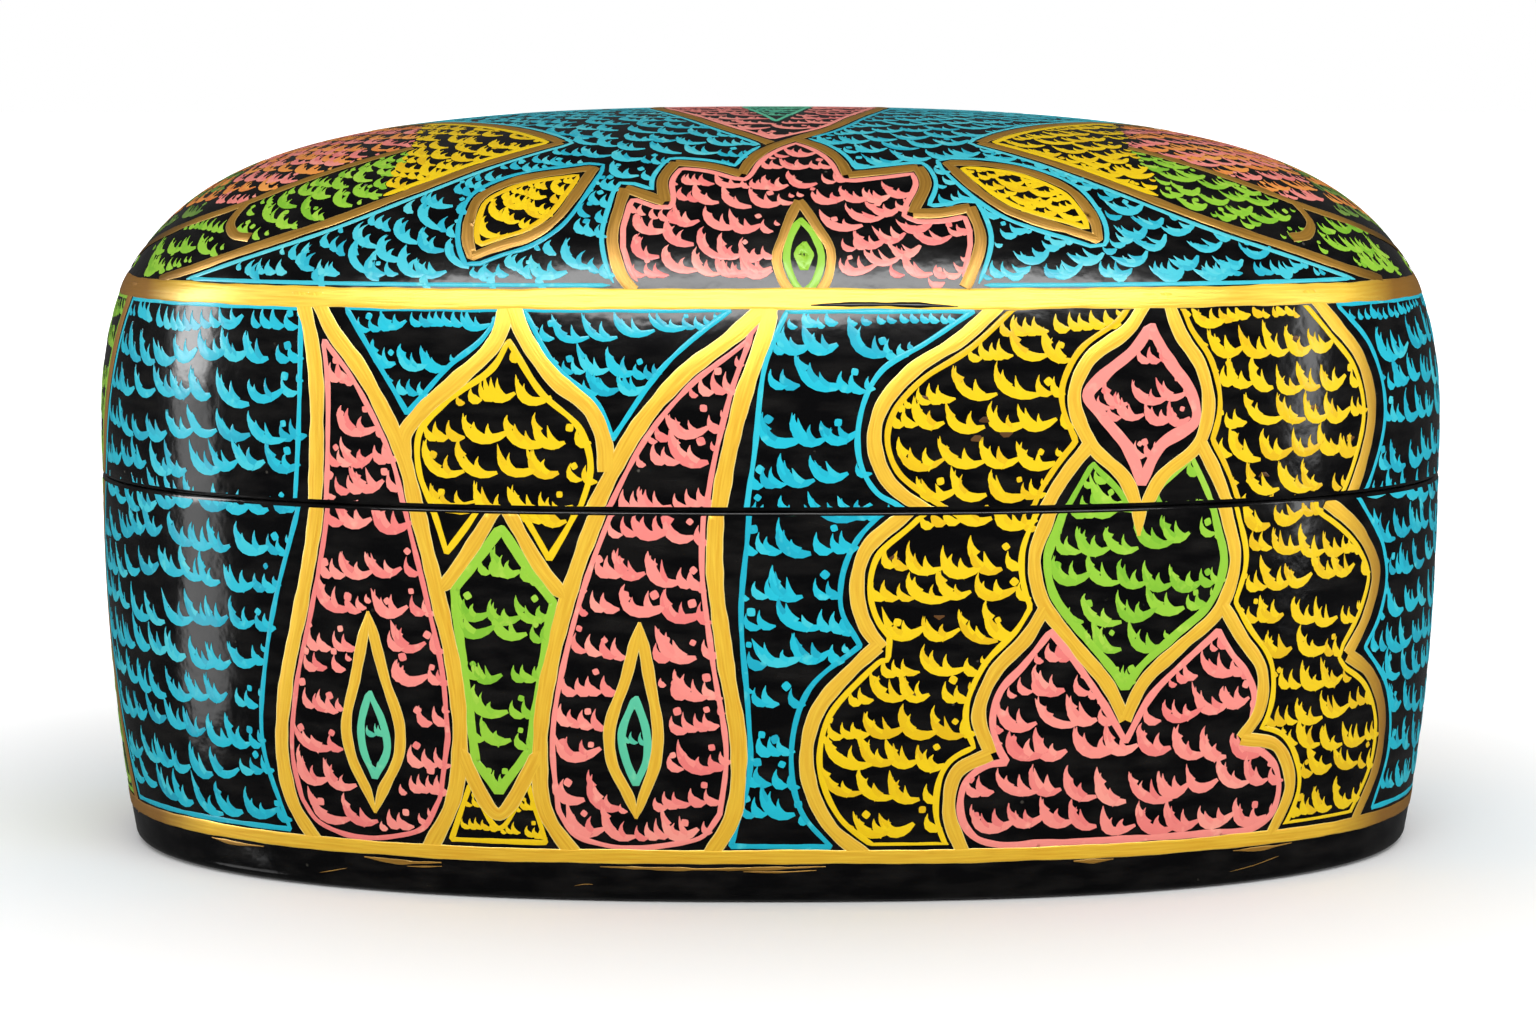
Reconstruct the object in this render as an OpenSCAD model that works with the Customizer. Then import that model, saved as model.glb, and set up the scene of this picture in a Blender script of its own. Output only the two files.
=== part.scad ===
// A moulded pulp box with a lift-off domed lid.
// The origin is at the middle of the underside, +X runs along the length and -Y is the front.
// Every wall is a stack of level rings, and each ring is a superellipse: an oval whose corners
// are the squarer, the higher its corner number is.

/* [Plan] */
// Length of the box where it is widest
body_len = 150; // [90:1:220]
// Depth of the box where it is widest, front to back
body_dep = 100; // [60:1:150]
// Corner number of the plan at the foot, where 2 is a true oval
foot_corner = 2.34; // [2:0.01:4]
// Corner number of the plan at the lid's shoulder
shoulder_corner = 2.83; // [2:0.01:5]
// Corner number of the plan at the crown of the dome
crown_corner = 2.4; // [2:0.01:4]
// How late the corners square up on the way from the foot to the shoulder
corner_rise = 7.4; // [1:0.1:12]

/* [Heights] */
// Height of the base, from the underside to the seam
base_h = 41; // [25:0.1:80]
// Height of the lid's wall, from the seam to the shoulder
lid_wall_h = 21.4; // [14:0.1:50]
// Height of the dome, from the shoulder to the crown
dome_rise = 19; // [8:0.1:40]
// How far above the seam the box is widest
belly_rise = 3.6; // [0:0.1:10]

/* [Wall line] */
// How far the wall draws in at the foot, on each side
foot_taper = 3.2; // [0:0.1:8]
// How sharply the wall draws in towards the foot
foot_power = 2.5; // [1.5:0.1:4]
// How far the wall draws in at the shoulder, on each side
shoulder_taper = 3.2; // [0:0.1:8]
// How sharply the wall draws in towards the shoulder
shoulder_power = 2.5; // [1.5:0.1:4]
// Radius of the rounded heel at the foot
heel_r = 1.2; // [0.4:0.1:1.8]
// Radius of the rounded outer edges of both rims, at the seam
rim_r = 0.4; // [0.1:0.1:0.8]

/* [Dome] */
// Slope at which the dome leaves the shoulder, in degrees from level
dome_angle = 62; // [50:1:80]
// How much of the dome's rise its shoulder curve aims at
shoulder_pull = 0.757; // [0.4:0.01:0.9]
// How much of the dome's half length its level crown reaches out to
crown_spread = 0.671; // [0.4:0.01:0.8]

/* [Walls] */
// Thickness of the base's wall
base_t = 3.2; // [2.4:0.1:5]
// Thickness of the lid's wall and dome
lid_t = 3; // [2:0.1:5]
// Thickness of the floor board
floor_t = 3; // [2:0.1:6]

/* [Collar] */
// Thickness of the collar
lip_t = 1.8; // [1.2:0.1:3]
// How far the collar stands above the seam
lip_rise = 6; // [3:0.5:9]
// How far the collar is glued down inside the base, below the seam
lip_seat = 10; // [5:0.5:14]
// Sliding clearance between the collar and the lid, on each side
lip_gap = 0.3; // [0.2:0.05:0.6]
// Radius of the collar's rounded top edges
lip_r = 0.5; // [0.2:0.1:0.6]
// Free height left above the collar inside the lid
lip_room = 1; // [0.5:0.1:2]

/* [Smoothness] */
// Number of facets round the box
facets = 96; // [48:4:104]
// Number of bands up the dome
dome_bands = 12; // [6:1:14]
// Number of bands up each wall
wall_bands = 7; // [4:1:9]

/* [Hidden] */

half_len = body_len / 2;
half_dep = body_dep / 2;
seam_z = base_h;
belly_z = seam_z + belly_rise;
shoulder_z = seam_z + lid_wall_h;
crown_z = shoulder_z + dome_rise;
seat_z = seam_z - lip_seat;
lip_z = seam_z + lip_rise;
socket_z = lip_z + lip_room;
round_steps = 3;
crown_trim = 0.97;
seat_inset = wall_inset(seam_z) + base_t;
socket_inset = seat_inset - lip_gap;
floor_inset = wall_inset(floor_t) + base_t;
lacquer = [0.11, 0.11, 0.11];
bare_pulp = [0.17, 0.16, 0.15];

// How far the outer wall lies inside the widest plan, at height z
function wall_inset(z) =
    z < belly_z
    ? foot_taper * pow((belly_z - z) / belly_z, foot_power)
    : shoulder_taper * pow((z - belly_z) / (shoulder_z - belly_z), shoulder_power);

// How fast that inset grows with height, above the widest place
function shoulder_lean(z) =
    shoulder_taper * shoulder_power / (shoulder_z - belly_z)
    * pow(max(0, z - belly_z) / (shoulder_z - belly_z), shoulder_power - 1);

// Corner number of the plan at height z of the wall
function corner(z) =
    foot_corner + (shoulder_corner - foot_corner) * pow(z / shoulder_z, corner_rise);

// One level ring: a superellipse of two half axes and a corner number
function ring(half_x, half_y, corner_no, z) = [
    for (i = [0 : facets - 1])
        let (turn = 360 * i / facets, c = cos(turn), s = sin(turn), e = 2 / corner_no)
            [half_x * sign(c) * pow(abs(c), e), half_y * sign(s) * pow(abs(s), e), z]
];

// A ring drawn in by the same amount on all sides of the widest plan
function inset_ring(inset, corner_no, z) = ring(half_len - inset, half_dep - inset, corner_no, z);

// Outer wall at height z
function wall_ring(z) = inset_ring(wall_inset(z), corner(z), z);

// Rings of the outer wall, in even steps between two heights, both ends among them
function wall_rings(z0, z1, bands) = [
    for (k = [0 : bands]) wall_ring(z0 + (z1 - z0) * k / bands)
];

// Quarter round at the foot of the wall, from the underside up to the wall
function heel_rings() = [
    for (k = [0 : round_steps - 1])
        let (turn = 90 * k / round_steps)
            inset_ring(
                wall_inset(heel_r) + heel_r * (1 - sin(turn)),
                corner(heel_r),
                heel_r * (1 - cos(turn))
            )
];

// Quarter round of the rim, from the wall to the level rim face. up is 1 where the wall ends
// upwards, and -1 where it ends downwards.
function rim_rings(up) = [
    for (k = [1 : round_steps])
        let (turn = 90 * k / round_steps)
            inset_ring(
                wall_inset(seam_z) + rim_r * (1 - cos(turn)),
                corner(seam_z),
                seam_z - up * rim_r * (1 - sin(turn))
            )
];

// Half axes and corner number of the plan at the shoulder
shoulder_x = half_len - shoulder_taper;
shoulder_y = half_dep - shoulder_taper;

// The dome's line over its length: a cubic curve from the shoulder to the crown
dome_line = [
    [shoulder_x, shoulder_z],
    [shoulder_x - shoulder_pull * dome_rise / tan(dome_angle), shoulder_z + shoulder_pull * dome_rise],
    [crown_spread * shoulder_x, crown_z],
    [0, crown_z]
];

// Point of that line at share u of the way, and its direction
function dome_at(u) =
    pow(1 - u, 3) * dome_line[0] + 3 * u * pow(1 - u, 2) * dome_line[1]
    + 3 * u * u * (1 - u) * dome_line[2] + pow(u, 3) * dome_line[3];
function dome_slope(u) =
    pow(1 - u, 2) * (dome_line[1] - dome_line[0])
    + 2 * u * (1 - u) * (dome_line[2] - dome_line[1])
    + u * u * (dome_line[3] - dome_line[2]);

// Ring of the dome at share u, moved inwards across its surface by depth
function dome_ring(u, depth) =
    let (
        p = dome_at(u),
        d = dome_slope(u),
        out = [d[1], -d[0]] / norm(d),
        share = p[0] / shoulder_x
    )
        ring(
            p[0] - depth * out[0],
            share * shoulder_y - depth * out[0],
            shoulder_corner + (crown_corner - shoulder_corner) * (1 - share),
            p[1] - depth * out[1]
        );

// Rings of the dome from just above the shoulder to just short of the crown
function dome_rings(depth) = [
    for (k = [1 : dome_bands]) dome_ring(crown_trim * k / dome_bands, depth)
];

// Inner wall of the lid where the outer wall is at height z, across the wall's thickness
function lid_inner_ring(z) =
    let (lean = shoulder_lean(z), across = lid_t / sqrt(1 + lean * lean))
        inset_ring(wall_inset(z) + across, corner(z), z - across * lean);

// Faces between ring a and ring b of a stack
function band(a, b) = [
    for (i = [0 : facets - 1])
        let (j = (i + 1) % facets)
            each [
                [a * facets + i, b * facets + i, b * facets + j],
                [a * facets + i, b * facets + j, a * facets + j]
            ]
];

// Faces from ring a to a single point, and the same facing the other way
function cone_up(a, tip) = [
    for (i = [0 : facets - 1]) [a * facets + i, tip, a * facets + (i + 1) % facets]
];
function cone_down(a, tip) = [
    for (i = [0 : facets - 1]) [a * facets + (i + 1) % facets, tip, a * facets + i]
];

// Solid wall whose rings run up the outside, over the top and down the inside, and meet
module wall_loop(rings) {
    count = len(rings);
    polyhedron(
        points = [for (r = rings) each r],
        faces = [for (k = [0 : count - 1]) each band(k, (k + 1) % count)],
        convexity = 6
    );
}

// Solid bowl whose rings run from an inner tip, down the inside, round the rim and up the
// outside to an outer tip
module bowl(rings, inner_tip, outer_tip) {
    count = len(rings);
    polyhedron(
        points = [for (r = rings) each r, inner_tip, outer_tip],
        faces = [
            each cone_down(0, count * facets),
            for (k = [0 : count - 2]) each band(k, k + 1),
            each cone_up(count - 1, count * facets + 1)
        ],
        convexity = 6
    );
}

// The base's pulp wall. It is open below, where the floor board is glued in, and straight
// inside where the collar is glued.
module base_shell() {
    outside = [
        each heel_rings(),
        each wall_rings(heel_r, seam_z - rim_r, wall_bands),
        each rim_rings(1)
    ];
    inside = [
        inset_ring(seat_inset, corner(seam_z), seam_z),
        inset_ring(seat_inset, corner(seam_z), seat_z),
        for (k = [1 : wall_bands - 1])
            let (z = seat_z + (floor_t - seat_z) * k / wall_bands)
                inset_ring(wall_inset(z) + base_t, corner(z), z),
        inset_ring(floor_inset, corner(floor_t), floor_t),
        inset_ring(floor_inset, corner(floor_t), 0)
    ];
    color(lacquer) wall_loop([each outside, each inside]);
}

// The flat board glued into the foot of the wall, flush with the underside
module base_floor() {
    outline = [for (p = inset_ring(floor_inset, corner(floor_t), 0)) [p[0], p[1]]];
    color(bare_pulp) linear_extrude(floor_t) polygon(outline);
}

// The collar: a straight strip glued inside the base's wall, which the lid slides down over
module base_lip() {
    no = corner(seam_z);
    top_outer = [
        for (k = [0 : round_steps])
            let (turn = 90 * k / round_steps)
                inset_ring(seat_inset + lip_r * (1 - cos(turn)), no, lip_z - lip_r * (1 - sin(turn)))
    ];
    top_inner = [
        for (k = [0 : round_steps])
            let (turn = 90 * k / round_steps)
                inset_ring(seat_inset + lip_t - lip_r * (1 - sin(turn)), no, lip_z - lip_r * (1 - cos(turn)))
    ];
    color(lacquer) wall_loop([
        inset_ring(seat_inset, no, seat_z),
        inset_ring(seat_inset, no, seam_z),
        each top_outer,
        each top_inner,
        inset_ring(seat_inset + lip_t, no, seat_z)
    ]);
}

// The lid: wall and dome in one shell, straight inside where it slides over the collar
module lid_shell() {
    inner_dome = dome_rings(lid_t);
    inner_wall_z0 = socket_z + lid_t;
    inside = [
        for (k = [dome_bands - 1 : -1 : 0]) inner_dome[k],
        for (k = [wall_bands : -1 : 0])
            lid_inner_ring(inner_wall_z0 + (shoulder_z - inner_wall_z0) * k / wall_bands),
        inset_ring(socket_inset, corner(seam_z), socket_z),
        inset_ring(socket_inset, corner(seam_z), seam_z)
    ];
    rim = rim_rings(-1);
    outside = [
        for (k = [round_steps - 1 : -1 : 0]) rim[k],
        each wall_rings(seam_z + rim_r, shoulder_z, wall_bands),
        each dome_rings(0)
    ];
    color(lacquer) bowl([each inside, each outside], [0, 0, crown_z - lid_t], [0, 0, crown_z]);
}

base_shell();
base_floor();
base_lip();
lid_shell();
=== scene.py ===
import bpy
import numpy as np
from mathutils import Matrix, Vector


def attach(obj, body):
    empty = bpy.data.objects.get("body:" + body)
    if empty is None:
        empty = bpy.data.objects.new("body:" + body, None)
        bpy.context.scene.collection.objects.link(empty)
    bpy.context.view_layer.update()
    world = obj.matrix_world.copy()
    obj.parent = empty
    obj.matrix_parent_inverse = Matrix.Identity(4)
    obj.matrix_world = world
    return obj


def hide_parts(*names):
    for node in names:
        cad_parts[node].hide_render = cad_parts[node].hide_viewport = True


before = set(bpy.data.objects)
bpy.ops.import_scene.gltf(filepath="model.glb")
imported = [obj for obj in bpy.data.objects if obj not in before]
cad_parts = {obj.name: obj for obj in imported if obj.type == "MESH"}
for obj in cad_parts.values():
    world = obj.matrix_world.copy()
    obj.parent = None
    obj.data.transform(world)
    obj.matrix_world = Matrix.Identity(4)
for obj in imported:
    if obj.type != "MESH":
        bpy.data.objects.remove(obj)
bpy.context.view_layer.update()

# ------------------------------------------------------------------ the base's wall
# A moulded paper-pulp wall, thinnest at its rounded foot, filled, rubbed down and lacquered
# black inside and out. The floor board and the collar are glued into it. The black stops
# 0.1 mm short of the full size, and the paint on it makes that up.

MM = 0.001
HALF_LENGTH = 74.9
HALF_DEPTH = 49.9
SEAM = 41.0
BELLY = 44.6
SHOULDER = 62.4
CROWN = 81.3
FOOT_TAPER = 3.2
SHOULDER_TAPER = 3.2
TAPER_POWER = 2.5
FOOT_CORNER = 2.34
SHOULDER_CORNER = 2.83
CORNER_RISE = 7.4
HEEL_ROUND = 1.2
RIM_ROUND = 0.4
BASE_THICK = 3.2
FLOOR_THICK = 3.0
COLLAR_SEAT = 10.0
AROUND = 512


def wall_inset(z):
    """How far the wall lies inside the widest plan: a power curve down from the belly to the
    foot, and another up from the belly to the shoulder."""
    low = np.clip((BELLY - z) / BELLY, 0, None)
    high = np.clip((z - BELLY) / (SHOULDER - BELLY), 0, None)
    return FOOT_TAPER * low**TAPER_POWER + SHOULDER_TAPER * high**TAPER_POWER


def corner_number(z):
    """Squareness of the plan at a height: it grows late and fast towards the shoulder."""
    return FOOT_CORNER + (SHOULDER_CORNER - FOOT_CORNER) * (np.asarray(z) / SHOULDER) ** CORNER_RISE


def oval(half_x, half_y, corner, turn):
    """Superellipse: each half axis times the cosine or sine of the turn, raised to two over
    the corner number with its sign kept."""
    c, s = np.cos(turn), np.sin(turn)
    return (
        half_x * np.sign(c) * np.abs(c) ** (2 / corner),
        half_y * np.sign(s) * np.abs(s) ** (2 / corner),
    )


def quarter(steps):
    """Turns of a quarter circle, both ends among them."""
    return np.linspace(0, np.pi / 2, steps)


def new_piece(name, points, faces, material):
    """Piece of one mesh, from points in millimetres."""
    mesh = bpy.data.meshes.new(name)
    mesh.from_pydata((points * MM).tolist(), [], faces)
    mesh.materials.append(material)
    piece = bpy.data.objects.new(name, mesh)
    bpy.context.scene.collection.objects.link(piece)
    return piece


def oval_stack(name, material, inset, z, corner, tips=None, half_y=None):
    """Skin through level ovals, one for each inset, height and corner number. Without tips
    the last oval joins the first. With tips, a point closes each end."""
    turn = np.linspace(0, 2 * np.pi, AROUND, endpoint=False)
    depth = HALF_DEPTH - inset if half_y is None else half_y
    x, y = oval((HALF_LENGTH - inset)[:, None], depth[:, None], corner[:, None], turn[None])
    points = np.stack([x, y, np.broadcast_to(z[:, None], x.shape)], -1).reshape(-1, 3)
    rows = len(z)
    size = rows * AROUND
    first = np.arange(AROUND)
    following = (first + 1) % AROUND
    low = np.arange(rows if tips is None else rows - 1)[:, None] * AROUND
    a = (low + first[None]).ravel()
    b = (low + following[None]).ravel()
    faces = np.stack([a, b, (b + AROUND) % size, (a + AROUND) % size], -1).tolist()
    if tips is not None:
        points = np.concatenate([points, [[0, 0, tips[0]], [0, 0, tips[1]]]])
        last = (rows - 1) * AROUND
        faces += np.stack([following, first, np.full(AROUND, size)], -1).tolist()
        faces += np.stack([first + last, following + last, np.full(AROUND, size + 1)], -1).tolist()
    piece = new_piece(name, points, faces, material)
    piece.data.validate()
    piece.data.shade_smooth()
    piece.data.set_sharp_from_angle(angle=np.radians(50))
    return piece


def fill(tree, made, sockets):
    """Values set on a node's sockets, or links made to them."""
    for name, value in sockets.items():
        if isinstance(value, bpy.types.NodeSocket):
            tree.links.new(value, made.inputs[name])
        else:
            made.inputs[name].default_value = value


def node(tree, kind, sockets=None, **settings):
    """One shader node, with its settings and its sockets' values or links."""
    made = tree.nodes.new(kind)
    for name, value in settings.items():
        setattr(made, name, value)
    fill(tree, made, sockets or {})
    return made


def tone(red, green, blue):
    """Linear colour of a paint chip that reads as these three values of 0 to 255."""
    chip = np.array([red, green, blue]) / 255
    linear = np.where(chip <= 0.04045, chip / 12.92, ((chip + 0.055) / 1.055) ** 2.4)
    return (*linear.tolist(), 1.0)


def ramp(tree, value, low, high, ends="From"):
    """Value spread so that low gives 0 and high gives 1. With ends set to To, 0 gives low
    and 1 gives high."""
    sockets = {"Value": value, f"{ends} Min": low, f"{ends} Max": high}
    return node(tree, "ShaderNodeMapRange", sockets).outputs["Result"]


def blend(tree, share, first, second):
    """Two colours mixed by a share."""
    sockets = {0: share, 6: first, 7: second}
    return node(tree, "ShaderNodeMix", sockets, data_type="RGBA").outputs[2]


def on_piece(tree):
    """Place on the piece itself, in metres."""
    return node(tree, "ShaderNodeTexCoord").outputs["Object"]


def noise(tree, where, scale, detail):
    """Soft noise from 0 to 1."""
    made = node(tree, "ShaderNodeTexNoise", {"Vector": where, "Scale": scale, "Detail": detail})
    return made.outputs["Fac"]


def bump(tree, height, distance, **below):
    """Normal of a skin from its height, which stands up to a distance in metres. A finer
    skin's normal may lie below it."""
    sockets = {"Height": height, "Distance": distance, **below}
    return node(tree, "ShaderNodeBump", sockets).outputs["Normal"]


def new_group(name, *outputs):
    """Empty shader node group with float outputs."""
    tree = bpy.data.node_groups.new(name, "ShaderNodeTree")
    for label in outputs:
        tree.interface.new_socket(label, in_out="OUTPUT", socket_type="NodeSocketFloat")
    return tree, tree.nodes.new("NodeGroupOutput")


def hand_laid_group():
    """Height of a hand-laid, hand-rubbed skin: slow swells about 9 mm across, plus finer
    ripples about 2 mm across. Beside it, clouds about 16 mm across."""
    tree, out = new_group("hand_laid_skin", "Height", "Cloud")
    where = on_piece(tree)
    swell = noise(tree, where, 110, 1.5)
    ripple = noise(tree, where, 520, 2)
    sockets = {0: ripple, 1: 0.16, 2: swell}
    height = node(tree, "ShaderNodeMath", sockets, operation="MULTIPLY_ADD").outputs[0]
    fill(tree, out, {"Height": height, "Cloud": noise(tree, where, 60, 4)})
    return tree


def dust_group():
    """Mask of dust nibs caught in the varnish: round specks where a cell's middle is near,
    kept only in the few places where a slow noise is high."""
    tree, out = new_group("varnish_nibs", "Mask")
    where = on_piece(tree)
    cell = node(tree, "ShaderNodeTexVoronoi", {"Vector": where, "Scale": 420, "Randomness": 1})
    speck = ramp(tree, cell.outputs["Distance"], 0.10, 0.05)
    rare = ramp(tree, noise(tree, where, 170, 3), 0.60, 0.66)
    mask = node(tree, "ShaderNodeMath", {0: speck, 1: rare}, operation="MULTIPLY").outputs[0]
    fill(tree, out, {"Mask": mask})
    return tree


HAND_LAID = hand_laid_group()
NIBS = dust_group()


def placed(tree, group):
    """The outputs of a node group placed in a material."""
    return node(tree, "ShaderNodeGroup", node_tree=group).outputs


def new_material(name):
    """Material with an empty tree, its Principled shader and its output."""
    made = bpy.data.materials.new(name)
    made.use_nodes = True
    tree = made.node_tree
    tree.nodes.clear()
    shader = node(tree, "ShaderNodeBsdfPrincipled")
    node(tree, "ShaderNodeOutputMaterial", {"Surface": shader.outputs["BSDF"]})
    return made, tree, shader


def lacquer(name, dark, cloudy, gloss, swell):
    """Black lacquer: two near blacks in level brush marks, a few pale nibs, a roughness that
    slow clouds change a little, and the hand-laid skin as bump."""
    made, tree, shader = new_material(name)
    skin = placed(tree, HAND_LAID)
    nibs = placed(tree, NIBS)
    level = node(tree, "ShaderNodeMapping", {"Vector": on_piece(tree), "Scale": (190, 190, 620)})
    share = ramp(tree, noise(tree, level.outputs["Vector"], 1, 3), 0.42, 0.72)
    colour = blend(tree, share, tone(*dark), tone(*cloudy))
    fill(tree, shader, {
        "Base Color": blend(tree, nibs["Mask"], colour, tone(96, 92, 84)),
        "Roughness": ramp(tree, skin["Cloud"], gloss * 0.8, gloss * 1.5, "To"),
        "Specular IOR Level": 0.28,
        "Normal": bump(tree, skin["Height"], swell),
    })
    return made


BLACK_LACQUER = lacquer("black_lacquer", (6, 6, 7), (24, 23, 22), 0.13, 0.00026)

heel = quarter(7)
rim = quarter(5)
rise = np.linspace(HEEL_ROUND, SEAM - RIM_ROUND, 40)
drop = np.linspace(SEAM - COLLAR_SEAT - 0.5, FLOOR_THICK, 14)
seat_inset = wall_inset(SEAM) + BASE_THICK
floor_inset = wall_inset(FLOOR_THICK) + BASE_THICK
base_inset = np.concatenate([
    wall_inset(HEEL_ROUND) + HEEL_ROUND * (1 - np.sin(heel[:-1])),
    wall_inset(rise),
    wall_inset(SEAM) + RIM_ROUND * (1 - np.cos(rim[1:])),
    [seat_inset, seat_inset],
    wall_inset(drop) + BASE_THICK,
    [floor_inset],
])
base_z = np.concatenate([
    HEEL_ROUND * (1 - np.cos(heel[:-1])),
    rise,
    SEAM - RIM_ROUND * (1 - np.sin(rim[1:])),
    [SEAM, SEAM - COLLAR_SEAT],
    drop,
    [0.0],
])
base_wall = oval_stack("base_wall", BLACK_LACQUER, base_inset, base_z, corner_number(base_z))
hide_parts("base_shell")
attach(base_wall, "base")

# ------------------------------------------------------------------ the floor board
# A flat board of laminated paper glued flush into the foot of the wall. It is brushed with
# one thin coat of black, so it is duller than the walls, and rubbed grey where it stands.

FLOOR_LACQUER = lacquer("floor_lacquer", (24, 23, 22), (40, 37, 34), 0.38, 0.0003)
board_inset = floor_inset + np.array([0.35, 0.1, 0.0, 0.0, 0.1, 0.35])
board_z = np.array([0.0, 0.08, 0.3, FLOOR_THICK - 0.3, FLOOR_THICK - 0.08, FLOOR_THICK])
board_corner = np.full(len(board_z), corner_number(FLOOR_THICK))
floor_board = oval_stack(
    "floor_board", FLOOR_LACQUER, board_inset, board_z, board_corner, tips=(0.0, FLOOR_THICK)
)
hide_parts("base_floor")
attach(floor_board, "base")

# ------------------------------------------------------------------ the collar
# A straight strip of thin pulp board, bent to the plan and glued inside the base's wall. It
# stands above the seam, and the lid slides down over it.

COLLAR_THICK = 1.8
COLLAR_RISE = 6.0
COLLAR_ROUND = 0.5

COLLAR_LACQUER = lacquer("collar_lacquer", (19, 19, 19), (33, 31, 29), 0.25, 0.00018)
edge = quarter(5)
collar_inset = np.concatenate([
    [seat_inset, seat_inset],
    seat_inset + COLLAR_ROUND * (1 - np.cos(edge)),
    seat_inset + COLLAR_THICK - COLLAR_ROUND * (1 - np.sin(edge)),
    [seat_inset + COLLAR_THICK],
])
collar_top = SEAM + COLLAR_RISE
collar_z = np.concatenate([
    [SEAM - COLLAR_SEAT, SEAM],
    collar_top - COLLAR_ROUND * (1 - np.sin(edge)),
    collar_top - COLLAR_ROUND * (1 - np.cos(edge)),
    [SEAM - COLLAR_SEAT],
])
collar_corner = np.full(len(collar_z), corner_number(SEAM))
collar = oval_stack("collar", COLLAR_LACQUER, collar_inset, collar_z, collar_corner)
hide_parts("base_lip")
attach(collar, "base")

# ------------------------------------------------------------------ the lid
# Wall and low dome moulded in one piece of pulp, lacquered like the base. Inside, a straight
# socket slides over the collar, and its rim rests on the base's rim.

LID_THICK = 3.0
DOME_ANGLE = np.radians(62)
SHOULDER_PULL = 0.757
CROWN_SPREAD = 0.671
CROWN_CORNER = 2.4
SOCKET_TOP = collar_top + 1.0
SOCKET_INSET = seat_inset - 0.3
DOME_X = HALF_LENGTH - SHOULDER_TAPER
DOME_Y = HALF_DEPTH - SHOULDER_TAPER
DOME_RISE = CROWN - SHOULDER
DOME_LINE = np.array([
    [DOME_X, SHOULDER],
    [DOME_X - SHOULDER_PULL * DOME_RISE / np.tan(DOME_ANGLE), SHOULDER + SHOULDER_PULL * DOME_RISE],
    [CROWN_SPREAD * DOME_X, CROWN],
    [0.0, CROWN],
])


def cubic(k, a, b, c, d):
    """Point at the share k of a cubic curve given by its two ends and the two bones between
    them, each weighed by its power of k and of the rest of the way."""
    return (1 - k) ** 3 * a + 3 * k * (1 - k) ** 2 * b + 3 * k**2 * (1 - k) * c + k**3 * d


def dome_line(share):
    """Half length and height of the dome: a cubic curve from the shoulder to the crown."""
    return cubic(np.asarray(share)[..., None], *DOME_LINE)


def dome_corner(half_x):
    """Corner number of the dome's plan: from the shoulder's to the crown's, in step with its
    half length."""
    return CROWN_CORNER + (SHOULDER_CORNER - CROWN_CORNER) * half_x / DOME_X


share = np.linspace(0, 1, 62)[1:-1] ** 0.9
outer = dome_line(share)
ahead = dome_line(share + 1e-4) - outer
out_x = ahead[:, 1] / np.hypot(ahead[:, 0], ahead[:, 1])
out_z = -ahead[:, 0] / np.hypot(ahead[:, 0], ahead[:, 1])
wall_z = np.linspace(SEAM + RIM_ROUND, SHOULDER, 26)
lining_z = np.linspace(SOCKET_TOP + 3, SHOULDER, 14)
lean = (
    SHOULDER_TAPER * TAPER_POWER / (SHOULDER - BELLY)
    * ((lining_z - BELLY) / (SHOULDER - BELLY)) ** (TAPER_POWER - 1)
)
across = LID_THICK / np.sqrt(1 + lean**2)


def lid_half(half, dome):
    """Half length or half depth of the lid's ovals: down the inside of its dome and its wall,
    down the socket, round the rim, and up the outside."""
    return np.concatenate([
        (dome - LID_THICK * out_x)[::-1],
        (half - wall_inset(lining_z) - across)[::-1],
        np.full(2, half - SOCKET_INSET),
        (half - wall_inset(SEAM) - RIM_ROUND * (1 - np.cos(rim[1:])))[::-1],
        half - wall_inset(wall_z),
        dome,
    ])


lid_z = np.concatenate([
    (outer[:, 1] - LID_THICK * out_z)[::-1],
    (lining_z - across * lean)[::-1],
    [SOCKET_TOP, SEAM],
    (SEAM + RIM_ROUND * (1 - np.sin(rim[1:])))[::-1],
    wall_z,
    outer[:, 1],
])
lid_corner = np.concatenate([
    dome_corner(outer[::-1, 0]),
    corner_number(lining_z)[::-1],
    np.full(2, corner_number(SEAM)),
    corner_number(SEAM + RIM_ROUND * (1 - np.sin(rim[1:])))[::-1],
    corner_number(wall_z),
    dome_corner(outer[:, 0]),
])
lid = oval_stack(
    "lid_wall_and_dome",
    BLACK_LACQUER,
    HALF_LENGTH - lid_half(HALF_LENGTH, outer[:, 0]),
    lid_z,
    lid_corner,
    tips=(CROWN - LID_THICK, CROWN),
    half_y=lid_half(HALF_DEPTH, outer[:, 0] * DOME_Y / DOME_X),
)
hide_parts("lid_shell")
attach(lid, "lid")

# ------------------------------------------------------------------ the gold bands
# Two bands of bronze-gold paint drawn round the box before the panels: a wide one on the
# lid's shoulder and a narrower one above the base's heel. They wore through in places.


def reach_of(points):
    """Distance along a line up to each of its points."""
    return np.concatenate([[0], np.cumsum(np.linalg.norm(np.diff(points, axis=0), axis=1))])


LOOP_TURNS = np.linspace(-1.5 * np.pi, 0.5 * np.pi, 20001)
LOOP_XY = np.stack(oval(HALF_LENGTH, HALF_DEPTH, FOOT_CORNER + 0.02, LOOP_TURNS), -1)
LOOP_FROM_FRONT = reach_of(LOOP_XY)
LOOP = LOOP_FROM_FRONT[-1]
LOOP_FROM_FRONT -= np.interp(-np.pi / 2, LOOP_TURNS, LOOP_FROM_FRONT)


def turn_at(along):
    """Turn of the plan, by the way round the widest plan from the middle of the front."""
    along = (along + LOOP / 2) % LOOP - LOOP / 2
    return np.interp(along, LOOP_FROM_FRONT, LOOP_TURNS)


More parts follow.
